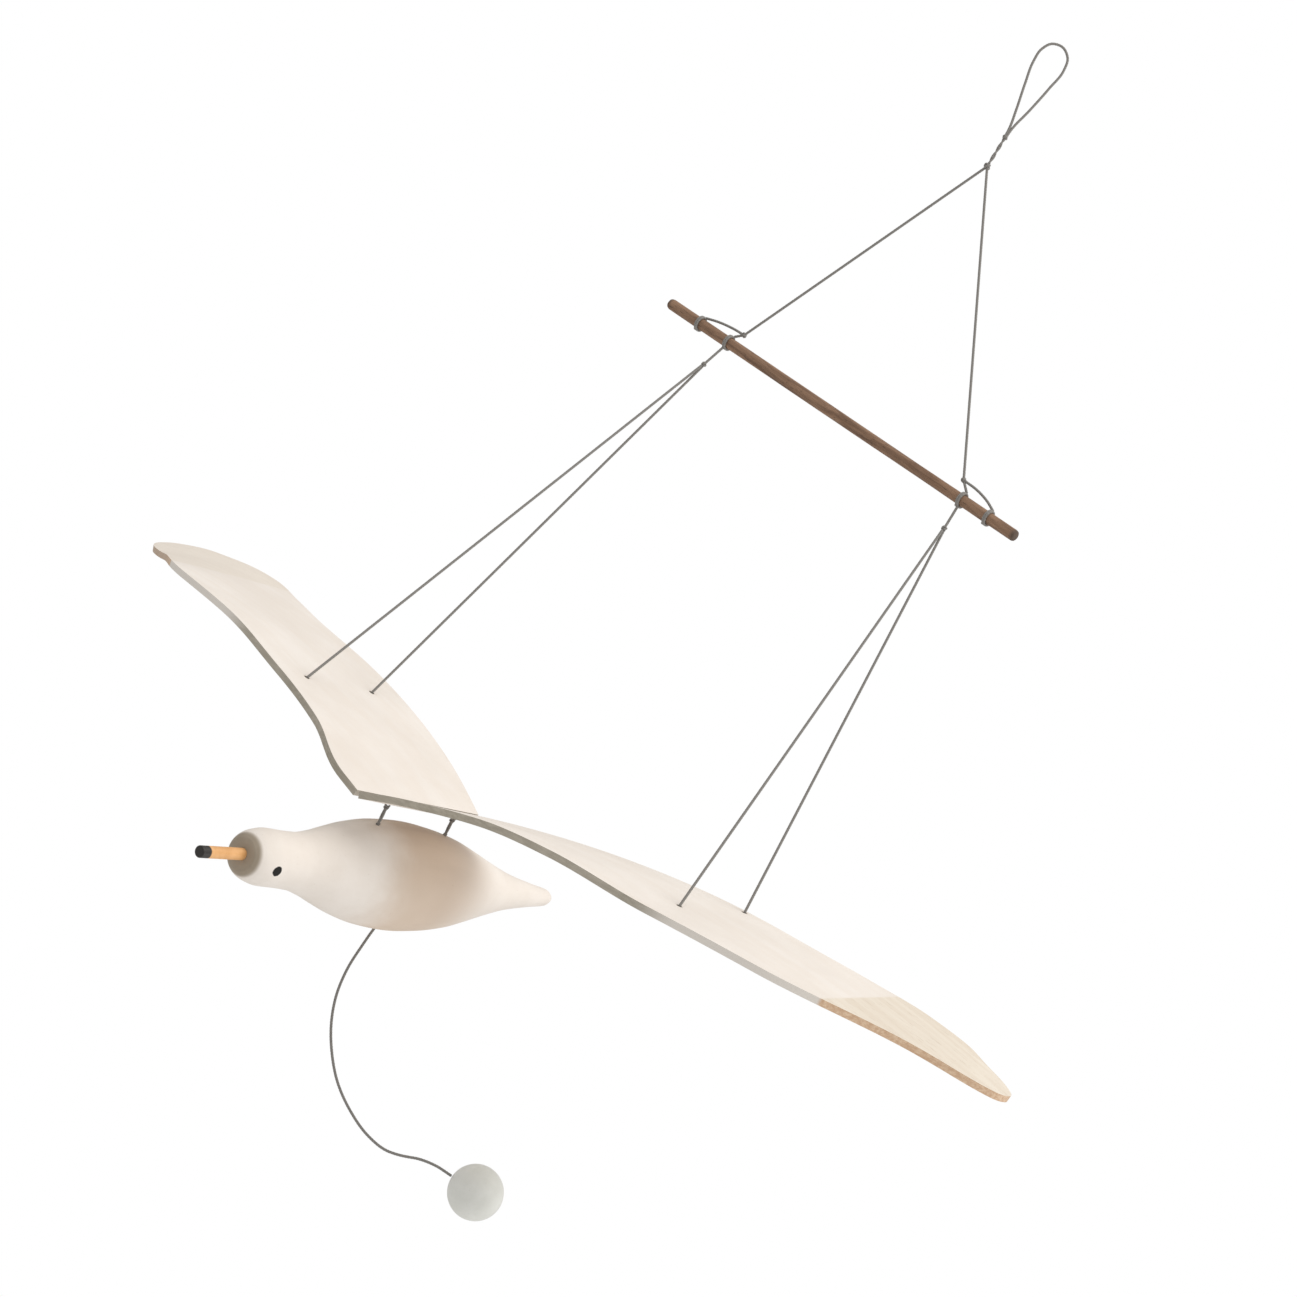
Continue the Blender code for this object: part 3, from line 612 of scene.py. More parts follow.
def vector_node(tree, operation, first, second):
    made = tree.nodes.new("ShaderNodeVectorMath")
    made.operation = operation
    tree.links.new(first, made.inputs[0])
    made.inputs[1].default_value = second
    return made.outputs["Value"]


def axis_of(tree, vector, axis):
    made = tree.nodes.new("ShaderNodeSeparateXYZ")
    tree.links.new(vector, made.inputs[0])
    return made.outputs[axis]


def own_out(out, holes):
    """A place along the arch, as the sideways reach in the wing's own frame."""
    return wing_section(out)[0] - wing_section(holes["out"])[0]


def board_faces(tree, side, paint, grain, beyond):
    """Pale paint with the grain faintly through it, and bare wood beyond the line."""
    colour = mix_colours(tree, paint.outputs["Patches"], *WING_PAINT)
    colour = tinted(tree, colour, WING_GRAIN, grain.outputs["Figure"], 0.14)
    wood = mix_colours(tree, grain.outputs["Figure"], *BARE_WOOD)
    wood = tinted(tree, wood, BARE_PORES, grain.outputs["Pores"], 0.5)
    return tinted(tree, colour, wood, beyond, BARE_SHARE[side])


def board_rim(tree, paint, grain, beyond, pale, facing_up):
    """Dull paint that turns pale further out, then bare wood with painted shade on its lower,
    downward-facing side.
    """
    painted = mix_colours(tree, paint.outputs["Patches"], *RIM_PAINT)
    painted = tinted(tree, painted, RIM_FIBRES, grain.outputs["Lines"], 0.35)
    painted = tinted(tree, painted, PALE_RIM, pale, 0.9)
    wood = mix_colours(tree, grain.outputs["Lines"], *RIM_WOOD)
    # Painted shade: the bare rim darkens where it faces down
    lower = inverse(tree, ramp_between(tree, facing_up, -0.45, -0.05))
    wood = mix_colours(tree, lower, wood, RIM_UNDERSIDE_SHADE)
    return mix_colours(tree, beyond, painted, wood)


def painted_board(side, sign, holes):
    """A wing's finish: pale paint, a duller rim, and bare wood beyond a line near the tip."""
    made, tree, shader, place = start_material("painted_wing_" + side, 0.62)
    rock = rock_matrix(side, sign, holes)
    here = in_frame(tree, place, rock)
    paint = use_group(tree, PAINT, here, Patch_Size=22.0, Speck_Size=1100.0)
    grain = use_group(tree, GRAIN, here, Ring_Size=150.0)
    slant = math_node(tree, "MULTIPLY", axis_of(tree, here, 0), BARE_LINE_SLANT)
    outward = math_node(tree, "MULTIPLY", axis_of(tree, here, 1), float(sign))
    outward = math_node(tree, "SUBTRACT", outward, slant)
    own_forward = (holes["front"] + holes["rear"]) / 2
    line = own_out(BARE_TIP_FROM[side], holes) + (own_forward - BARE_LINE_FORWARD) * BARE_LINE_SLANT
    beyond = ramp_between(tree, outward, line - BARE_LINE_FADE, line + BARE_LINE_FADE)
    pale = ramp_between(tree, outward, own_out(PALE_RIM_FROM, holes), own_out(PALE_RIM_TO, holes))
    upward = rock.to_3x3() @ Vector((0, 0, 1))
    facing_up = vector_node(tree, "DOT_PRODUCT", place.outputs["Normal"], upward)
    flat = ramp_between(tree, math_node(tree, "ABSOLUTE", facing_up), 0.12, 0.6)
    colour = board_faces(tree, side, paint, grain, beyond)
    rim = board_rim(tree, paint, grain, beyond, pale, facing_up)
    colour = mix_colours(tree, inverse(tree, flat), colour, rim)
    for end in ("front", "rear"):
        mouth = rock.inverted() @ sling_hole_matrix(side, sign, holes, end).to_translation()
        gap = vector_node(tree, "DISTANCE", here, mouth)
        worn = inverse(tree, ramp_between(tree, gap, HOLE_WEAR_FROM, HOLE_WEAR_TO))
        colour = tinted(tree, colour, HOLE_WEAR, worn, 0.4)
    colour = tinted(tree, colour, WING_SPECKS, paint.outputs["Specks"], 0.14)
    tree.links.new(colour, shader.inputs["Base Color"])
    rough = math_node(tree, "MULTIPLY", paint.outputs["Patches"], 0.12)
    tree.links.new(math_node(tree, "ADD", rough, 0.55), shader.inputs["Roughness"])
    height = math_node(tree, "ADD", paint.outputs["Height"],
                       math_node(tree, "MULTIPLY", grain.outputs["Lines"], 0.5))
    use_bump(tree, shader, height, 0.35, 0.2 * MM)
    return made


def wing_shadow_and_thin_paint(tree, along, paint):
    """How far the painted shadow of the wings, with wood under thin paint, shows along the body: not at
    the ends, and most round the middle.
    """
    wander = math_node(tree, "MULTIPLY", paint.outputs["Patches"], SHADOW_AND_THIN_PAINT_WANDER)
    wavy = math_node(tree, "ADD", along, wander)
    rise = ramp_between(tree, wavy, SHADOW_AND_THIN_PAINT_FROM, SHADOW_AND_THIN_PAINT_FROM + SHADOW_AND_THIN_PAINT_FADE * 2)
    fall = inverse(tree, ramp_between(tree, wavy, SHADOW_AND_THIN_PAINT_TO - SHADOW_AND_THIN_PAINT_FADE, SHADOW_AND_THIN_PAINT_TO))
    return math_node(tree, "MULTIPLY", rise, fall)


def painted_body():
    """Pale paint, a painted shadow of the wings round the middle where the paint is also thin, darker
    at the nose's flat face, and an eye each side.
    """
    made, tree, shader, place = start_material("painted_body", 0.55)
    shader.inputs["Specular IOR Level"].default_value = 0.2
    here = in_frame(tree, place, body_matrix())
    paint = use_group(tree, PAINT, here, Patch_Size=34.0, Speck_Size=1300.0)
    grain = use_group(tree, GRAIN, stretched(tree, here, (1.0, 1.0, 0.12)), Ring_Size=90.0)
    along = axis_of(tree, here, 2)
    colour = mix_colours(tree, paint.outputs["Patches"], *BODY_PAINT)
    # Painted shadow: the wings' shadow on the body's middle is laid in as this tan, partly wood through
    # thin paint
    wood = mix_colours(tree, grain.outputs["Figure"], *BODY_SHADOW_AND_WOOD)
    colour = tinted(tree, colour, wood, wing_shadow_and_thin_paint(tree, along, paint), 0.6)
    # Darker towards and on the nose's flat face
    face = ramp_between(tree, along, NOSE_FACE_DARK_FROM, NOSE_FACE_DARK_TO)
    nose_face_dark = mix_colours(tree, paint.outputs["Patches"], *NOSE_FACE_DARK)
    colour = mix_colours(tree, face, colour, nose_face_dark)
    colour = tinted(tree, colour, BODY_SPECKS, paint.outputs["Specks"], 0.2)
    wobble = math_node(tree, "SUBTRACT", paint.outputs["Height"], 0.5)
    wobble = math_node(tree, "MULTIPLY", wobble, EYE_WOBBLE)
    for side in (1, -1):
        gap = vector_node(tree, "DISTANCE", here, eye_place(side))
        spread = math_node(tree, "ADD", gap, wobble)
        clear = ramp_between(tree, spread, EYE_RADIUS - EYE_EDGE, EYE_RADIUS + EYE_EDGE)
        colour = mix_colours(tree, inverse(tree, clear), colour, EYE_BLACK)
    tree.links.new(colour, shader.inputs["Base Color"])
    rings = add_node(tree, "ShaderNodeTexNoise", Scale=700.0, Detail=2.0)
    tree.links.new(stretched(tree, here, (0.02, 0.02, 1.0)), rings.inputs["Vector"])
    height = math_node(tree, "ADD", math_node(tree, "MULTIPLY", rings.outputs["Fac"], 0.5),
                       math_node(tree, "MULTIPLY", paint.outputs["Height"], 0.6))
    use_bump(tree, shader, height, 0.3, 0.25 * MM)
    return made


def eye_place(side):
    """The middle of an eye in the body's own frame, where Z runs along the body to the head."""
    reach = body_radius(EYE_FORWARD) * EYE_REACH
    centre = bird(EYE_FORWARD, side * reach, body_place(EYE_FORWARD)[2] - EYE_BELOW_AXIS)
    return body_matrix().inverted() @ centre


def painted_beak():
    """Orange paint with a black end."""
    made, tree, shader, place = start_material("painted_beak", 0.5)
    here = in_frame(tree, place, beak_matrix())
    paint = use_group(tree, PAINT, here, Patch_Size=160.0, Speck_Size=2200.0)
    colour = mix_colours(tree, paint.outputs["Patches"], *BEAK_PAINT)
    wobble = math_node(tree, "MULTIPLY", paint.outputs["Height"], BEAK_BLACK_WOBBLE)
    along = math_node(tree, "ADD", axis_of(tree, here, 2), wobble)
    edge = BEAK_REACH - BEAK_BLACK_LENGTH
    dark = ramp_between(tree, along, edge - 0.2 * MM, edge + 0.3 * MM)
    colour = mix_colours(tree, dark, colour, BEAK_BLACK)
    tree.links.new(colour, shader.inputs["Base Color"])
    use_bump(tree, shader, paint.outputs["Height"], 0.3, 0.15 * MM)
    return made


def painted_ball():
    """Pale grey paint with a few specks."""
    made, tree, shader, place = start_material("painted_ball", 0.45)
    paint = use_group(tree, PAINT, place.outputs["Object"], Patch_Size=90.0, Speck_Size=1500.0)
    colour = mix_colours(tree, paint.outputs["Patches"], *BALL_PAINT)
    colour = tinted(tree, colour, BALL_SPECKS, paint.outputs["Specks"], 0.3)
    tree.links.new(colour, shader.inputs["Base Color"])
    use_bump(tree, shader, paint.outputs["Height"], 0.25, 0.2 * MM)
    return made


def peeled_twig():
    """Brown wood with fine lines and pores, darker at its cut ends."""
    made, tree, shader, place = start_material("peeled_twig", 0.72)
    here = in_frame(tree, place, bar_matrix())
    grain = use_group(tree, GRAIN, here, Ring_Size=420.0, Pore_Size=2600.0)
    colour = mix_colours(tree, grain.outputs["Figure"], *TWIG_WOOD)
    colour = tinted(tree, colour, TWIG_LINES, grain.outputs["Lines"], 0.5)
    colour = tinted(tree, colour, TWIG_PORES, grain.outputs["Pores"], 0.7)
    from_middle = math_node(tree, "ABSOLUTE", axis_of(tree, here, 1))
    ends = ramp_between(tree, from_middle, BAR_LENGTH / 2 - 2.5 * MM, BAR_LENGTH / 2 - 0.3 * MM)
    colour = mix_colours(tree, ends, colour, TWIG_ENDS)
    tree.links.new(colour, shader.inputs["Base Color"])
    height = math_node(tree, "ADD", grain.outputs["Lines"],
                       math_node(tree, "MULTIPLY", grain.outputs["Figure"], 0.6))
    use_bump(tree, shader, height, 0.5, 0.3 * MM)
    return made


def laid_fibre():
    """Dull grey-brown twine with paler fibres."""
    made, tree, shader, place = start_material("laid_fibre", 0.9)
    fibre = use_group(tree, FIBRE, place.outputs["Object"])
    colour = mix_colours(tree, fibre.outputs["Pale Fibres"], *CORD_FIBRE)
    tree.links.new(colour, shader.inputs["Base Color"])
    shader.inputs["Sheen Weight"].default_value = 0.15
    shader.inputs["Sheen Roughness"].default_value = 0.6
    use_bump(tree, shader, fibre.outputs["Height"], 0.5, 0.12 * MM)
    return made


PAINT = make_brushed_paint()
GRAIN = make_wood_grain()
FIBRE = make_fibre()
LAID_FIBRE = laid_fibre()


# Pieces

def add_piece(name, mesh, material, body, stands_for, matrix=None):
    """A visible piece that rides on a body, stands for the solids named, and has a finish."""
    made = bpy.data.objects.new(name, mesh)
    bpy.context.scene.collection.objects.link(made)
    mesh.materials.clear()
    mesh.materials.append(material)
    if matrix is not None:
        mesh.transform(matrix)
    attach(made, body)
    if stands_for:
        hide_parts(*stands_for)
    return made


def mesh_from(name, shape):
    mesh = bpy.data.meshes.new(name)
    shape.to_mesh(mesh)
    shape.free()
    return mesh


def with_modifiers(mesh, steps, cutters=()):
    """The mesh after a list of (kind, settings) modifiers and Boolean cuts, as a new mesh."""
    holder = bpy.data.objects.new("in_the_vice", mesh)
    bpy.context.scene.collection.objects.link(holder)
    for kind, settings in steps:
        step = holder.modifiers.new(kind.lower(), kind)
        for name, value in settings.items():
            setattr(step, name, value)
    tools = []
    for radius, length, matrix in cutters:
        shape = bmesh.new()
        bmesh.ops.create_cone(shape, cap_ends=True, segments=32, radius1=radius, radius2=radius,
                              depth=length)
        tool = bpy.data.objects.new("drill", mesh_from("drill", shape))
        bpy.context.scene.collection.objects.link(tool)
        tool.matrix_world = matrix
        tools.append(tool)
        step = holder.modifiers.new("drilled", "BOOLEAN")
        step.operation = "DIFFERENCE"
        step.object = tool
    bpy.context.view_layer.update()
    graph = bpy.context.evaluated_depsgraph_get()
    made = bpy.data.meshes.new_from_object(holder.evaluated_get(graph))
    for thing in [holder, *tools]:
        bpy.data.objects.remove(thing, do_unlink=True)
    return made


def join_rings(shape, pairs):
    """Faces between each pair of rings."""
    for near, far in pairs:
        sides = len(near)
        for step in range(sides):
            nxt = (step + 1) % sides
            shape.faces.new((near[step], near[nxt], far[nxt], far[step]))


def untwisted_sides(ahead):
    """A direction across the line at each point, carried along it with no twist."""
    side = np.cross(ahead[0], (0.31, 0.87, 0.39))
    found = [side / np.linalg.norm(side)]
    for way in ahead[1:]:
        side = found[-1] - way * (found[-1] @ way)
        found.append(side / np.linalg.norm(side))
    return found


def cord_shape(name, points, diameter=CORD_DIAMETER, closed=False, ends=CORD_END):
    """Three-strand cord along a line: a lobed tube whose lobes turn once in each lay length."""
    line = np.array(points, float)
    ahead = np.roll(line, -1, 0) - np.roll(line, 1, 0) if closed else np.gradient(line, axis=0)
    ahead /= np.linalg.norm(ahead, axis=1)[:, None]
    spans = np.linalg.norm(np.diff(line, axis=0), axis=1)
    along = np.concatenate([[0], np.cumsum(spans)])
    angles = np.arange(CORD_SIDES) * 2 * math.pi / CORD_SIDES
    shape = bmesh.new()
    rings = []
    for centre, way, side, far in zip(line, ahead, untwisted_sides(ahead), along):
        across = np.cross(way, side)
        lobes = np.abs(np.sin(STRANDS / 2 * (angles - far * 2 * math.pi / CORD_LAY)))
        radius = diameter / 2 * (1 - STRAND_DEPTH + STRAND_DEPTH * lobes)
        if not closed:
            close = min(far, along[-1] - far) / (diameter * CORD_END_ROUNDING)
            radius = radius * (ends + (1 - ends) * min(1.0, close))
        ring = []
        for angle, reach in zip(angles, radius):
            offset = side * math.cos(angle) + across * math.sin(angle)
            ring.append(shape.verts.new(centre + offset * reach))
        rings.append(ring)
    join_rings(shape, zip(rings, rings[1:]))
    if closed:
        twist = closing_twist(rings[-1], rings[0])
        join_rings(shape, [(rings[-1], rings[0][twist:] + rings[0][:twist])])
    else:
        shape.faces.new(rings[0][::-1])
        shape.faces.new(rings[-1])
    bmesh.ops.recalc_face_normals(shape, faces=shape.faces)
    mesh = mesh_from(name, shape)
    mesh.shade_smooth()
    return mesh


def closing_twist(last, first):
    """How far the first ring has to be turned to meet the last one with no wrench."""
    sides = len(last)
    gaps = [sum((last[i].co - first[(i + turn) % sides].co).length for i in range(sides))
            for turn in range(sides)]
    return gaps.index(min(gaps))


def straight(start, end):
    """Points along a taut cord."""
    count = max(3, int((end - start).length / CORD_POINT_STEP) + 1)
    return [start.lerp(end, spot / (count - 1)) for spot in range(count)]


def knot_line(centre, along, size):
    """A tight overhand knot: a small closed trefoil drawn round the cord's own line."""
    facing = Vector(along).to_track_quat("Z", "Y").to_matrix()
    line = []
    for spot in range(KNOT_POINTS):
        turn = 2 * math.pi * spot / KNOT_POINTS
        reach = size * (KNOT_WAIST + KNOT_LOBE * math.cos(3 * turn))
        flat = Vector((reach * math.cos(2 * turn), reach * math.sin(2 * turn),
                       size * KNOT_WAIST * math.sin(3 * turn)))
        line.append(Vector(centre) + facing @ flat)
    return line


def add_knot(name, centre, along, body, diameter=KNOT_DIAMETER):
    line = knot_line(centre, along, (diameter - KNOT_CORD) / 2)
    mesh = cord_shape(name, line, KNOT_CORD, closed=True)
    add_piece("laid_" + name, mesh, LAID_FIBRE, body, [name])


def add_cord(name, points, body, diameter=CORD_DIAMETER):
    mesh = cord_shape("laid_" + name, points, diameter)
    add_piece("laid_" + name, mesh, LAID_FIBRE, body, [name])


def wing_grid(side, sign):
    """The top face of a board, in the bird's frame: rows across it, closer together at the tip."""
    turn = np.linspace(0, math.pi / 2, WING_ROWS)
    shares = np.sin(turn) ** TIP_CROWDING
    front, back = wing_edges(shares)
    late = np.clip((shares - TIP_ROUND_FROM) / (1 - TIP_ROUND_FROM), 0, 1)
    keep = np.maximum((1 - late ** TIP_FULLNESS) ** (1 / TIP_FULLNESS), TIP_BLUNT)
    middle = (front + back) / 2
    half = (front - back) / 2 * keep
    shape = bmesh.new()
    rows = []
    for share, lead, trail in zip(shares, middle + half, middle - half):
        sideways, up = wing_section(share * WING_LENGTH)
        row = []
        for step in range(WING_COLUMNS + 1):
            forward = lead - (lead - trail) * step / WING_COLUMNS
            height = up + wing_warp(side, share, forward)
            row.append(shape.verts.new((forward, sign * (ROOT_GAP + sideways), height)))
        rows.append(row)
    for near, far in zip(rows, rows[1:]):
        for step in range(WING_COLUMNS):
            shape.faces.new((near[step], near[step + 1], far[step + 1], far[step]))
    bmesh.ops.recalc_face_normals(shape, faces=shape.faces)
    shape.faces.ensure_lookup_table()
    shape.normal_update()
    if shape.faces[0].normal.z < 0:
        bmesh.ops.reverse_faces(shape, faces=shape.faces)
    return shape


def dress_wing(side, sign, holes):
    """The arched and warped board again at full smoothness, with its rounded rim and its holes."""
    mesh = mesh_from("wing_board_" + side, wing_grid(side, sign))
    mesh.shade_smooth()
    level = bird_level(0.0, 0.0, 0.0)
    drills = []
    for end in ("front", "rear"):
        matrix = level.inverted() @ sling_hole_matrix(side, sign, holes, end)
        drills.append((SLING_HOLE_DIAMETER / 2, WING_THICKNESS * 3, matrix))
    mesh = with_modifiers(mesh, [
        ("SOLIDIFY", {"thickness": WING_THICKNESS, "offset": -1, "use_even_offset": True}),
        ("BEVEL", {"width": WING_EDGE_ROUND, "segments": 4, "limit_method": "ANGLE",
                   "angle_limit": math.radians(50), "harden_normals": True})], drills)
    add_piece("painted_wing_" + side, mesh, painted_board(side, sign, holes), "wing_" + side,
              ["wing_" + side], level)


def turned(name, profile, sides):
    """A turned mesh from (radius, height) points that run down its outer side."""
    shape = bmesh.new()
    spots = [shape.verts.new((radius, 0, height)) for radius, height in profile]
    for upper, lower in zip(spots, spots[1:]):
        shape.edges.new((upper, lower))
    mesh = mesh_from(name, shape)
    return with_modifiers(mesh, [("SCREW", {"steps": sides, "render_steps": sides,
                                            "use_merge_vertices": True, "merge_threshold": 0.00001,
                                            "use_smooth_shade": True})])


def dress_body():
    """The turned body, drilled for the beak, the pull cord and the two ties."""
    turn = np.linspace(0, math.pi, BODY_ROWS)
    places = NOSE_FORWARD - BODY_LENGTH * (1 - np.cos(turn)) / 2
    radii = smooth_through(body_stations(), places)
    face = [(0, NOSE_FORWARD), (radii[0] * NOSE_FACE_SHARE, NOSE_FORWARD)]
    profile = face + list(zip(radii, places)) + [(0, NOSE_FORWARD - BODY_LENGTH)]
    mesh = turned("turned_body", profile, BODY_SIDES)
    matrix = body_matrix()
    back = matrix.inverted()
    drills = [(BEAK_DIAMETER / 2 + BEAK_SOCKET_PLAY, BEAK_SOCKET_DEPTH * 2, back @ beak_matrix()),
              (EXIT_HOLE_DIAMETER / 2, EXIT_HOLE_DEPTH * 2, back @ Matrix.Translation(belly_place()))]
    for forward in TIE_PLACES.values():
        top = bird(forward, 0, body_place(forward)[2] + body_radius(forward))
        drills.append((TIE_HOLE_DIAMETER / 2, TIE_HOLE_DEPTH * 2, back @ Matrix.Translation(top)))
    mesh = with_modifiers(mesh, [], drills)
    mesh.shade_smooth()
    mesh.set_sharp_from_angle(angle=TURNED_SHARP_ANGLE)
    add_piece("turned_body", mesh, painted_body(), "bird", ["bird_body"], matrix)


def dress_beak():
    """The dowel in the nose, rounded over at its outer end."""
    root = BEAK_ROOT_PLAY - BEAK_SOCKET_DEPTH
    radius = BEAK_DIAMETER / 2
    profile = [(0, BEAK_REACH), (radius - BEAK_END_FLAT, BEAK_REACH)]
    for step in range(BEAK_ROUND_STEPS + 1):
        turn = math.pi / 2 * step / BEAK_ROUND_STEPS
        profile.append((radius - BEAK_END_ROUND * (1 - math.sin(turn)),
                        BEAK_REACH - BEAK_END_ROUND * (1 - math.cos(turn))))
    profile += [(radius, root), (0, root)]
    mesh = turned("dowel_beak", profile, BEAK_SIDES)
    mesh.set_sharp_from_angle(angle=TURNED_SHARP_ANGLE)
    add_piece("dowel_beak", mesh, painted_beak(), "bird", ["beak"], beak_matrix())


def dress_ties():
    """Each tie: two strands from the body's back that part under the wing roots, and two knots."""
    under = -WING_THICKNESS - TIE_UNDER_WING
    gathered = under - TIE_GATHERED_BELOW
    lower_size = TIE_KNOT_DIAMETER * LOWER_TIE_KNOT_SHARE
    for end, forward in TIE_PLACES.items():
        back = body_place(forward)[2] + body_radius(forward)
        half = [(TIE_SPREAD, under), (TIE_SPREAD * TIE_GATHERED_SHARE, gathered),
                (TIE_SPREAD * TIE_TWISTED_SHARE, (gathered + back) / 2)]
        points = [(forward, left, up) for left, up in half]
        points += [(forward, 0.0, back + TIE_OVER_BACK)]
        points += [(forward, -left, up) for left, up in half[::-1]]
        route = round_route([bird(*point) for point in points], TIE_POINT_STEP)
        add_cord(f"hinge_tie_{end}", route, "bird", TIE_CORD)
        upward = bird(forward, 0.0, under) - bird(forward, 0.0, back)
        for label, up, size in (("upper", gathered, TIE_KNOT_DIAMETER),
                                ("lower", back + LOWER_TIE_KNOT_OVER_BACK, lower_size)):
            line = knot_line(bird(forward, 0.0, up), upward, (size - TIE_KNOT_CORD) / 2)
            mesh = cord_shape("laid_tie_knot", line, TIE_KNOT_CORD, closed=True)
            add_piece(f"laid_tie_knot_{end}_{label}", mesh, LAID_FIBRE, "bird", [])


def dress_crossbar():
    """The twig: a tube with slow swells and small knobs, rounded at its ends, along its own Y."""
    half = BAR_LENGTH / 2
    stations = np.concatenate([np.linspace(-half, -half + 2 * MM, TWIG_END_RINGS),
                               np.linspace(-half + 3 * MM, half - 3 * MM, TWIG_RINGS),
                               np.linspace(half - 2 * MM, half, TWIG_END_RINGS)])
    shape = bmesh.new()
    rings = []
    for spot in stations:
        end = max(0.0, (abs(spot) - (half - TWIG_END_LENGTH)) / TWIG_END_LENGTH)
        keep = TWIG_END_SHARE + (1 - TWIG_END_SHARE) * math.sqrt(max(0.0, 1 - end ** 2))
        ring = []
        for step in range(TWIG_SIDES):
            turn = 2 * math.pi * step / TWIG_SIDES
            way = Vector((math.cos(turn), 0, math.sin(turn)))
            place = way * TWIG_SWELLS_ROUND + Vector((0, spot * TWIG_SWELLS_A_METRE, 0))
            swell = noise.noise(place) * TWIG_SWELL
            swell += noise.noise(place * TWIG_KNOBS_A_SWELL) * TWIG_KNOBS
            reach = (BAR_DIAMETER / 2 - TWIG_SHAVED + swell) * keep
            ring.append(shape.verts.new((way.x * reach, spot, way.z * reach)))
        rings.append(ring)
    join_rings(shape, zip(rings, rings[1:]))
    shape.faces.new(rings[0][::-1])
    shape.faces.new(rings[-1])
    bmesh.ops.recalc_face_normals(shape, faces=shape.faces)
    mesh = mesh_from("twig_bar", shape)
    mesh.shade_smooth()
    mesh.set_sharp_from_angle(angle=TWIG_SHARP_ANGLE)
    add_piece("twig_bar", mesh, peeled_twig(), "hanger", ["crossbar"], bar_matrix())


def dress_lashing(name, along):
    """Turns of cord pulled tight round the bar."""
    way = bar_direction()
    across = way.cross(Vector((1, 0, 0))).normalized()
    other = way.cross(across).normalized()
    last = LASHING_TURNS * LASHING_POINTS_A_TURN
    line = []
    for spot in range(int(last) + 1):
        turn = 2 * math.pi * spot / LASHING_POINTS_A_TURN
        aside = across * math.cos(turn) + other * math.sin(turn)
        shift = way * (spot / last - 0.5) * LASHING_SPREAD
        line.append(bar_place(along) + shift + aside * LASHING_REACH)
    add_cord(name, line, "hanger", LASHING_CORD)


def dress_bridle(side, sign, inner, outer):
    """The top cord down to its knot, and from there a straight and an arched cord to the bar."""
    over = BAR_DIAMETER / 2 + GAP + LASHING_THICKNESS + BRIDLE_RISE[side]
    knot = bar_place(inner - sign * BRIDLE_SET_IN[side], over)
    add_knot(f"bridle_knot_{side}", knot, APEX - knot, "hanger")
    add_cord(f"top_cord_{side}", straight(APEX, knot), "hanger")
    add_cord(f"bridle_inner_{side}", straight(knot, bar_place(inner, BRIDLE_TOUCH)), "hanger")
    sag = (over - BRIDLE_TOUCH) * BRIDLE_SAG_SHARE
    arch = [bar_place(inner + (outer - inner) * share, over - sags * sag)
            for share, sags in BRIDLE_ARCH]
    arch = [knot, *arch, bar_place(outer, BRIDLE_TOUCH)]
    add_cord(f"bridle_outer_{side}", round_route(arch, CORD_POINT_STEP), "hanger")


def dress_rigging(side, sign, holes):
    """The cords between the apex knot, the bar and one wing."""
    inner = sign * (BAR_LENGTH / 2 - INNER_LASHING_SET_IN[side])
    outer = sign * (BAR_LENGTH / 2 - OUTER_LASHING_SET_IN[side])
    dress_lashing(f"bar_lashing_inner_{side}", inner)
    dress_lashing(f"bar_lashing_outer_{side}", outer)
    dress_bridle(side, sign, inner, outer)
    mouths = {end: sling_hole_matrix(side, sign, holes, end) for end in ("front", "rear")}
    feet = {end: mouth @ Vector((0, 0, SLING_LIFT)) for end, mouth in mouths.items()}
    middle = (feet["front"] + feet["rear"]) / 2
    hang = bar_place(inner)
    way = (middle - hang).normalized()
    split = hang + way * SPLIT_DROP
    add_knot(f"split_knot_{side}", split, hang - split, "hanger")
    under_bar = hang + way * (BAR_DIAMETER / 2 + DROP_CORD_GAP)
    add_cord(f"drop_cord_{side}", straight(under_bar, split), "hanger")
    for end, foot in feet.items():
        aside = (foot - middle).normalized() * SLING_ASIDE
        start = split + aside + (foot - split).normalized() * SLING_BELOW_SPLIT
        line = straight(start, mouths[end] @ Vector((0, 0, -SLING_INTO_HOLE)))
        add_cord(f"sling_cord_{side}_{end}", line, "sling_" + side)
        add_stopper(side, end, mouths[end])


def add_stopper(side, end, hole):
    """The knot under the wing and the short cord up through the hole."""
    name = f"stopper_knot_{side}_{end}"
    low = hole @ Vector((0, 0, -WING_THICKNESS - STOPPER_DROP))
    line = knot_line(low, hole.to_3x3() @ Vector((0, 0, 1)), STOPPER_LOOP)
    knot = cord_shape("laid_" + name, line, STOPPER_CORD, closed=True)
    add_piece("laid_" + name, knot, LAID_FIBRE, "wing_" + side, [name])
    neck = cord_shape("laid_neck", straight(low, hole @ Vector((0, 0, -NECK_BELOW_MOUTH))))
    add_piece(f"laid_neck_{side}_{end}", neck, LAID_FIBRE, "wing_" + side, [])


def stem_strand(tie, across, phase):
    """One of the two strands twisted together between the apex knot and the loop's tie."""
    line = []
    for spot in range(STEM_POINTS):
        share = spot / (STEM_POINTS - 1)
        turn = phase + share * 2 * math.pi * STEM_TURNS
        aside = (LOOP_SIDE * math.cos(turn) + across * math.sin(turn)) * STEM_ASIDE
        line.append(APEX.lerp(tie, share) + aside)
    return line


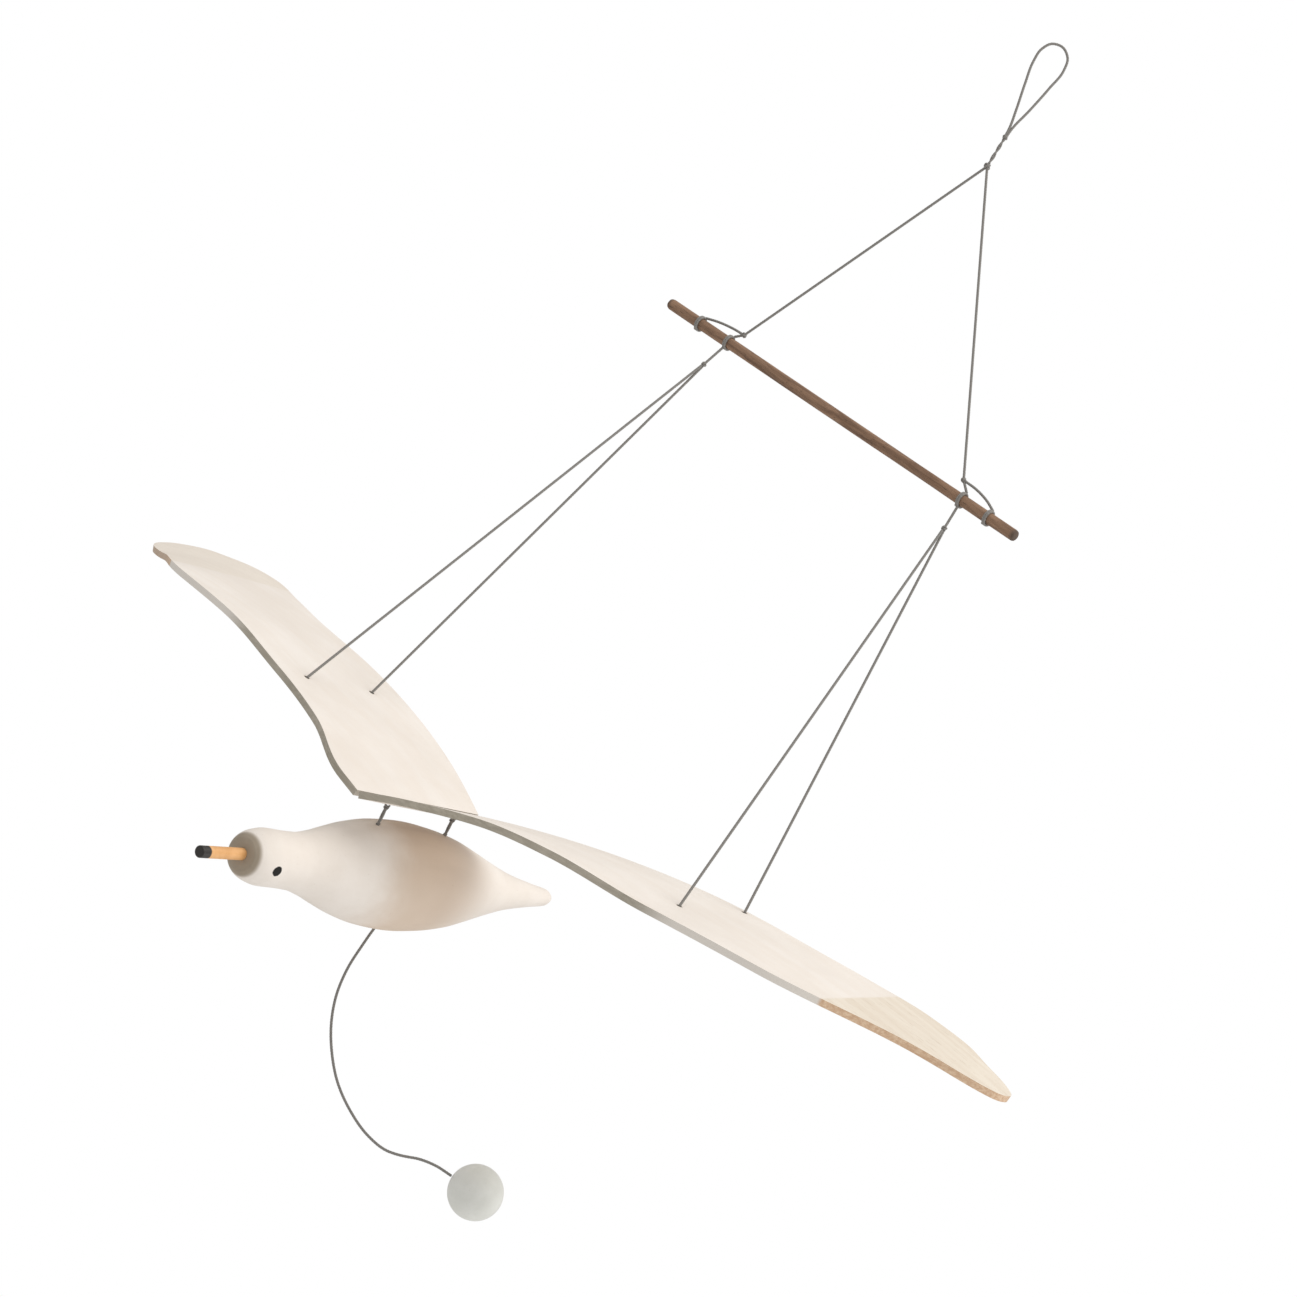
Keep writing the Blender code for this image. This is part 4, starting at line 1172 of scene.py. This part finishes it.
def dress_loop():
    """The hanging loop, its tie, and the doubled cord down to the apex knot."""
    spots = [(side * MM, rise * MM) for side, rise in LOOP_POINTS]
    route = [APEX + LOOP_SIDE * side + Vector((0, 0, rise)) for side, rise in spots]
    low = (route[0] + route[-1]) / 2
    way = (low - APEX).normalized()
    tie = APEX + way * LOOP_TIE_RISE
    aside = LOOP_SIDE * LOOP_ENDS_ASIDE
    ends = [tie + aside, *route, tie - aside]
    add_cord("hanging_loop", round_route(ends, CORD_POINT_STEP), "hanger")
    add_knot("loop_tie", tie, way, "hanger")
    add_knot("apex_knot", APEX, way, "hanger", APEX_KNOT_DIAMETER)
    across = way.cross(LOOP_SIDE).normalized()
    add_cord("loop_stem", stem_strand(tie, across, 0.0), "hanger", STEM_CORD)
    mesh = cord_shape("laid_loop_stem_b", stem_strand(tie, across, math.pi), STEM_CORD)
    add_piece("laid_loop_stem_b", mesh, LAID_FIBRE, "hanger", [])


def dress_pull():
    """The loose pull cord and its painted wooden ball."""
    start = belly_place()
    route = [start + PULL_SIDE * side * MM + Vector((0, 0, rise * MM)) for side, rise in PULL_POINTS]
    solid = [Vector(point) for point in round_route(route, PULL_CORD_STEP * CORD_DIAMETER)]
    line = [Vector(point) for point in round_route(solid, CORD_POINT_STEP)]
    mesh = cord_shape("laid_pull_cord", line, ends=PULL_CORD_END)
    cord = add_piece("laid_pull_cord", mesh, LAID_FIBRE, "bird", ["pull_cord"])
    way = (solid[-1] - solid[-2]).normalized()
    centre = solid[-1] + way * (BALL_DIAMETER / 2 + GAP)
    facing = way.to_track_quat("Z", "Y").to_matrix().to_4x4()
    shape = bmesh.new()
    bmesh.ops.create_uvsphere(shape, u_segments=BALL_SEGMENTS, v_segments=BALL_RINGS,
                              radius=BALL_DIAMETER / 2)
    mouth = Matrix.Translation((0, 0, -BALL_DIAMETER / 2))
    drill = (BALL_HOLE_DIAMETER / 2, BALL_HOLE_DEPTH * 2, mouth)
    mesh = with_modifiers(mesh_from("turned_ball", shape), [], [drill])
    mesh.shade_smooth()
    mesh.set_sharp_from_angle(angle=TURNED_SHARP_ANGLE)
    ball = add_piece("turned_ball", mesh, painted_ball(), "bird", ["pull_ball"],
                     Matrix.Translation(centre) @ facing)


# Camera, light and floor

def add_camera():
    """The camera at the photograph's viewing angle."""
    data = bpy.data.cameras.new("camera")
    data.sensor_width = SENSOR_WIDTH
    data.lens = CAMERA_LENS
    data.clip_start = 0.05
    data.clip_end = 50.0
    made = bpy.data.objects.new("camera", data)
    bpy.context.scene.collection.objects.link(made)
    ahead = CAMERA_AHEAD.normalized()
    right = (CAMERA_RIGHT - ahead * CAMERA_RIGHT.dot(ahead)).normalized()
    up = right.cross(ahead)
    turn = Matrix((right, up, -ahead)).transposed().to_4x4()
    made.matrix_world = Matrix.Translation(CAMERA_PLACE) @ turn
    bpy.context.scene.camera = made


def add_lamp(name, place, size, power, colour):
    data = bpy.data.lights.new(name, "AREA")
    data.shape = "DISK"
    data.size = size
    data.energy = power
    data.color = colour
    made = bpy.data.objects.new(name, data)
    bpy.context.scene.collection.objects.link(made)
    made.location = place
    made.rotation_mode = "QUATERNION"
    made.rotation_quaternion = (LAMPS_POINT_AT - Vector(place)).to_track_quat("-Z", "Y")


def add_floor():
    shape = bmesh.new()
    bmesh.ops.create_circle(shape, cap_ends=True, segments=96, radius=FLOOR_RADIUS)
    floor = bpy.data.objects.new("floor", mesh_from("floor", shape))
    bpy.context.scene.collection.objects.link(floor)
    floor.location = (0, 0, FLOOR_HEIGHT)
    pale, _, shader, _ = start_material("pale_floor", 0.8)
    shader.inputs["Base Color"].default_value = FLOOR_COLOUR
    floor.data.materials.append(pale)


def add_white_room():
    """A world that looks pure white to the camera and lights the mobile softly."""
    world = bpy.data.worlds.new("white_room")
    bpy.context.scene.world = world
    world.use_nodes = True
    tree = world.node_tree
    tree.nodes.clear()
    seen = add_node(tree, "ShaderNodeBackground", Strength=1.0)
    seen.inputs["Color"].default_value = (1.0, 1.0, 1.0, 1.0)
    light = add_node(tree, "ShaderNodeBackground", Strength=ROOM_LIGHT)
    light.inputs["Color"].default_value = ROOM_LIGHT_COLOUR
    path = tree.nodes.new("ShaderNodeLightPath")
    mix = tree.nodes.new("ShaderNodeMixShader")
    out = tree.nodes.new("ShaderNodeOutputWorld")
    tree.links.new(path.outputs["Is Camera Ray"], mix.inputs[0])
    tree.links.new(light.outputs[0], mix.inputs[1])
    tree.links.new(seen.outputs[0], mix.inputs[2])
    tree.links.new(mix.outputs[0], out.inputs[0])
    bpy.context.scene.view_settings.view_transform = "Standard"


add_camera()
for name, (place, size, power, colour) in LAMPS.items():
    add_lamp(name, place, size, power, colour)
add_floor()
add_white_room()
dress_pull()
dress_loop()
dress_crossbar()
for side, sign, holes in (("right", -1, RIGHT_SLING_HOLES), ("left", 1, LEFT_SLING_HOLES)):
    dress_rigging(side, sign, holes)
    dress_wing(side, sign, holes)
dress_body()
dress_beak()
dress_ties()
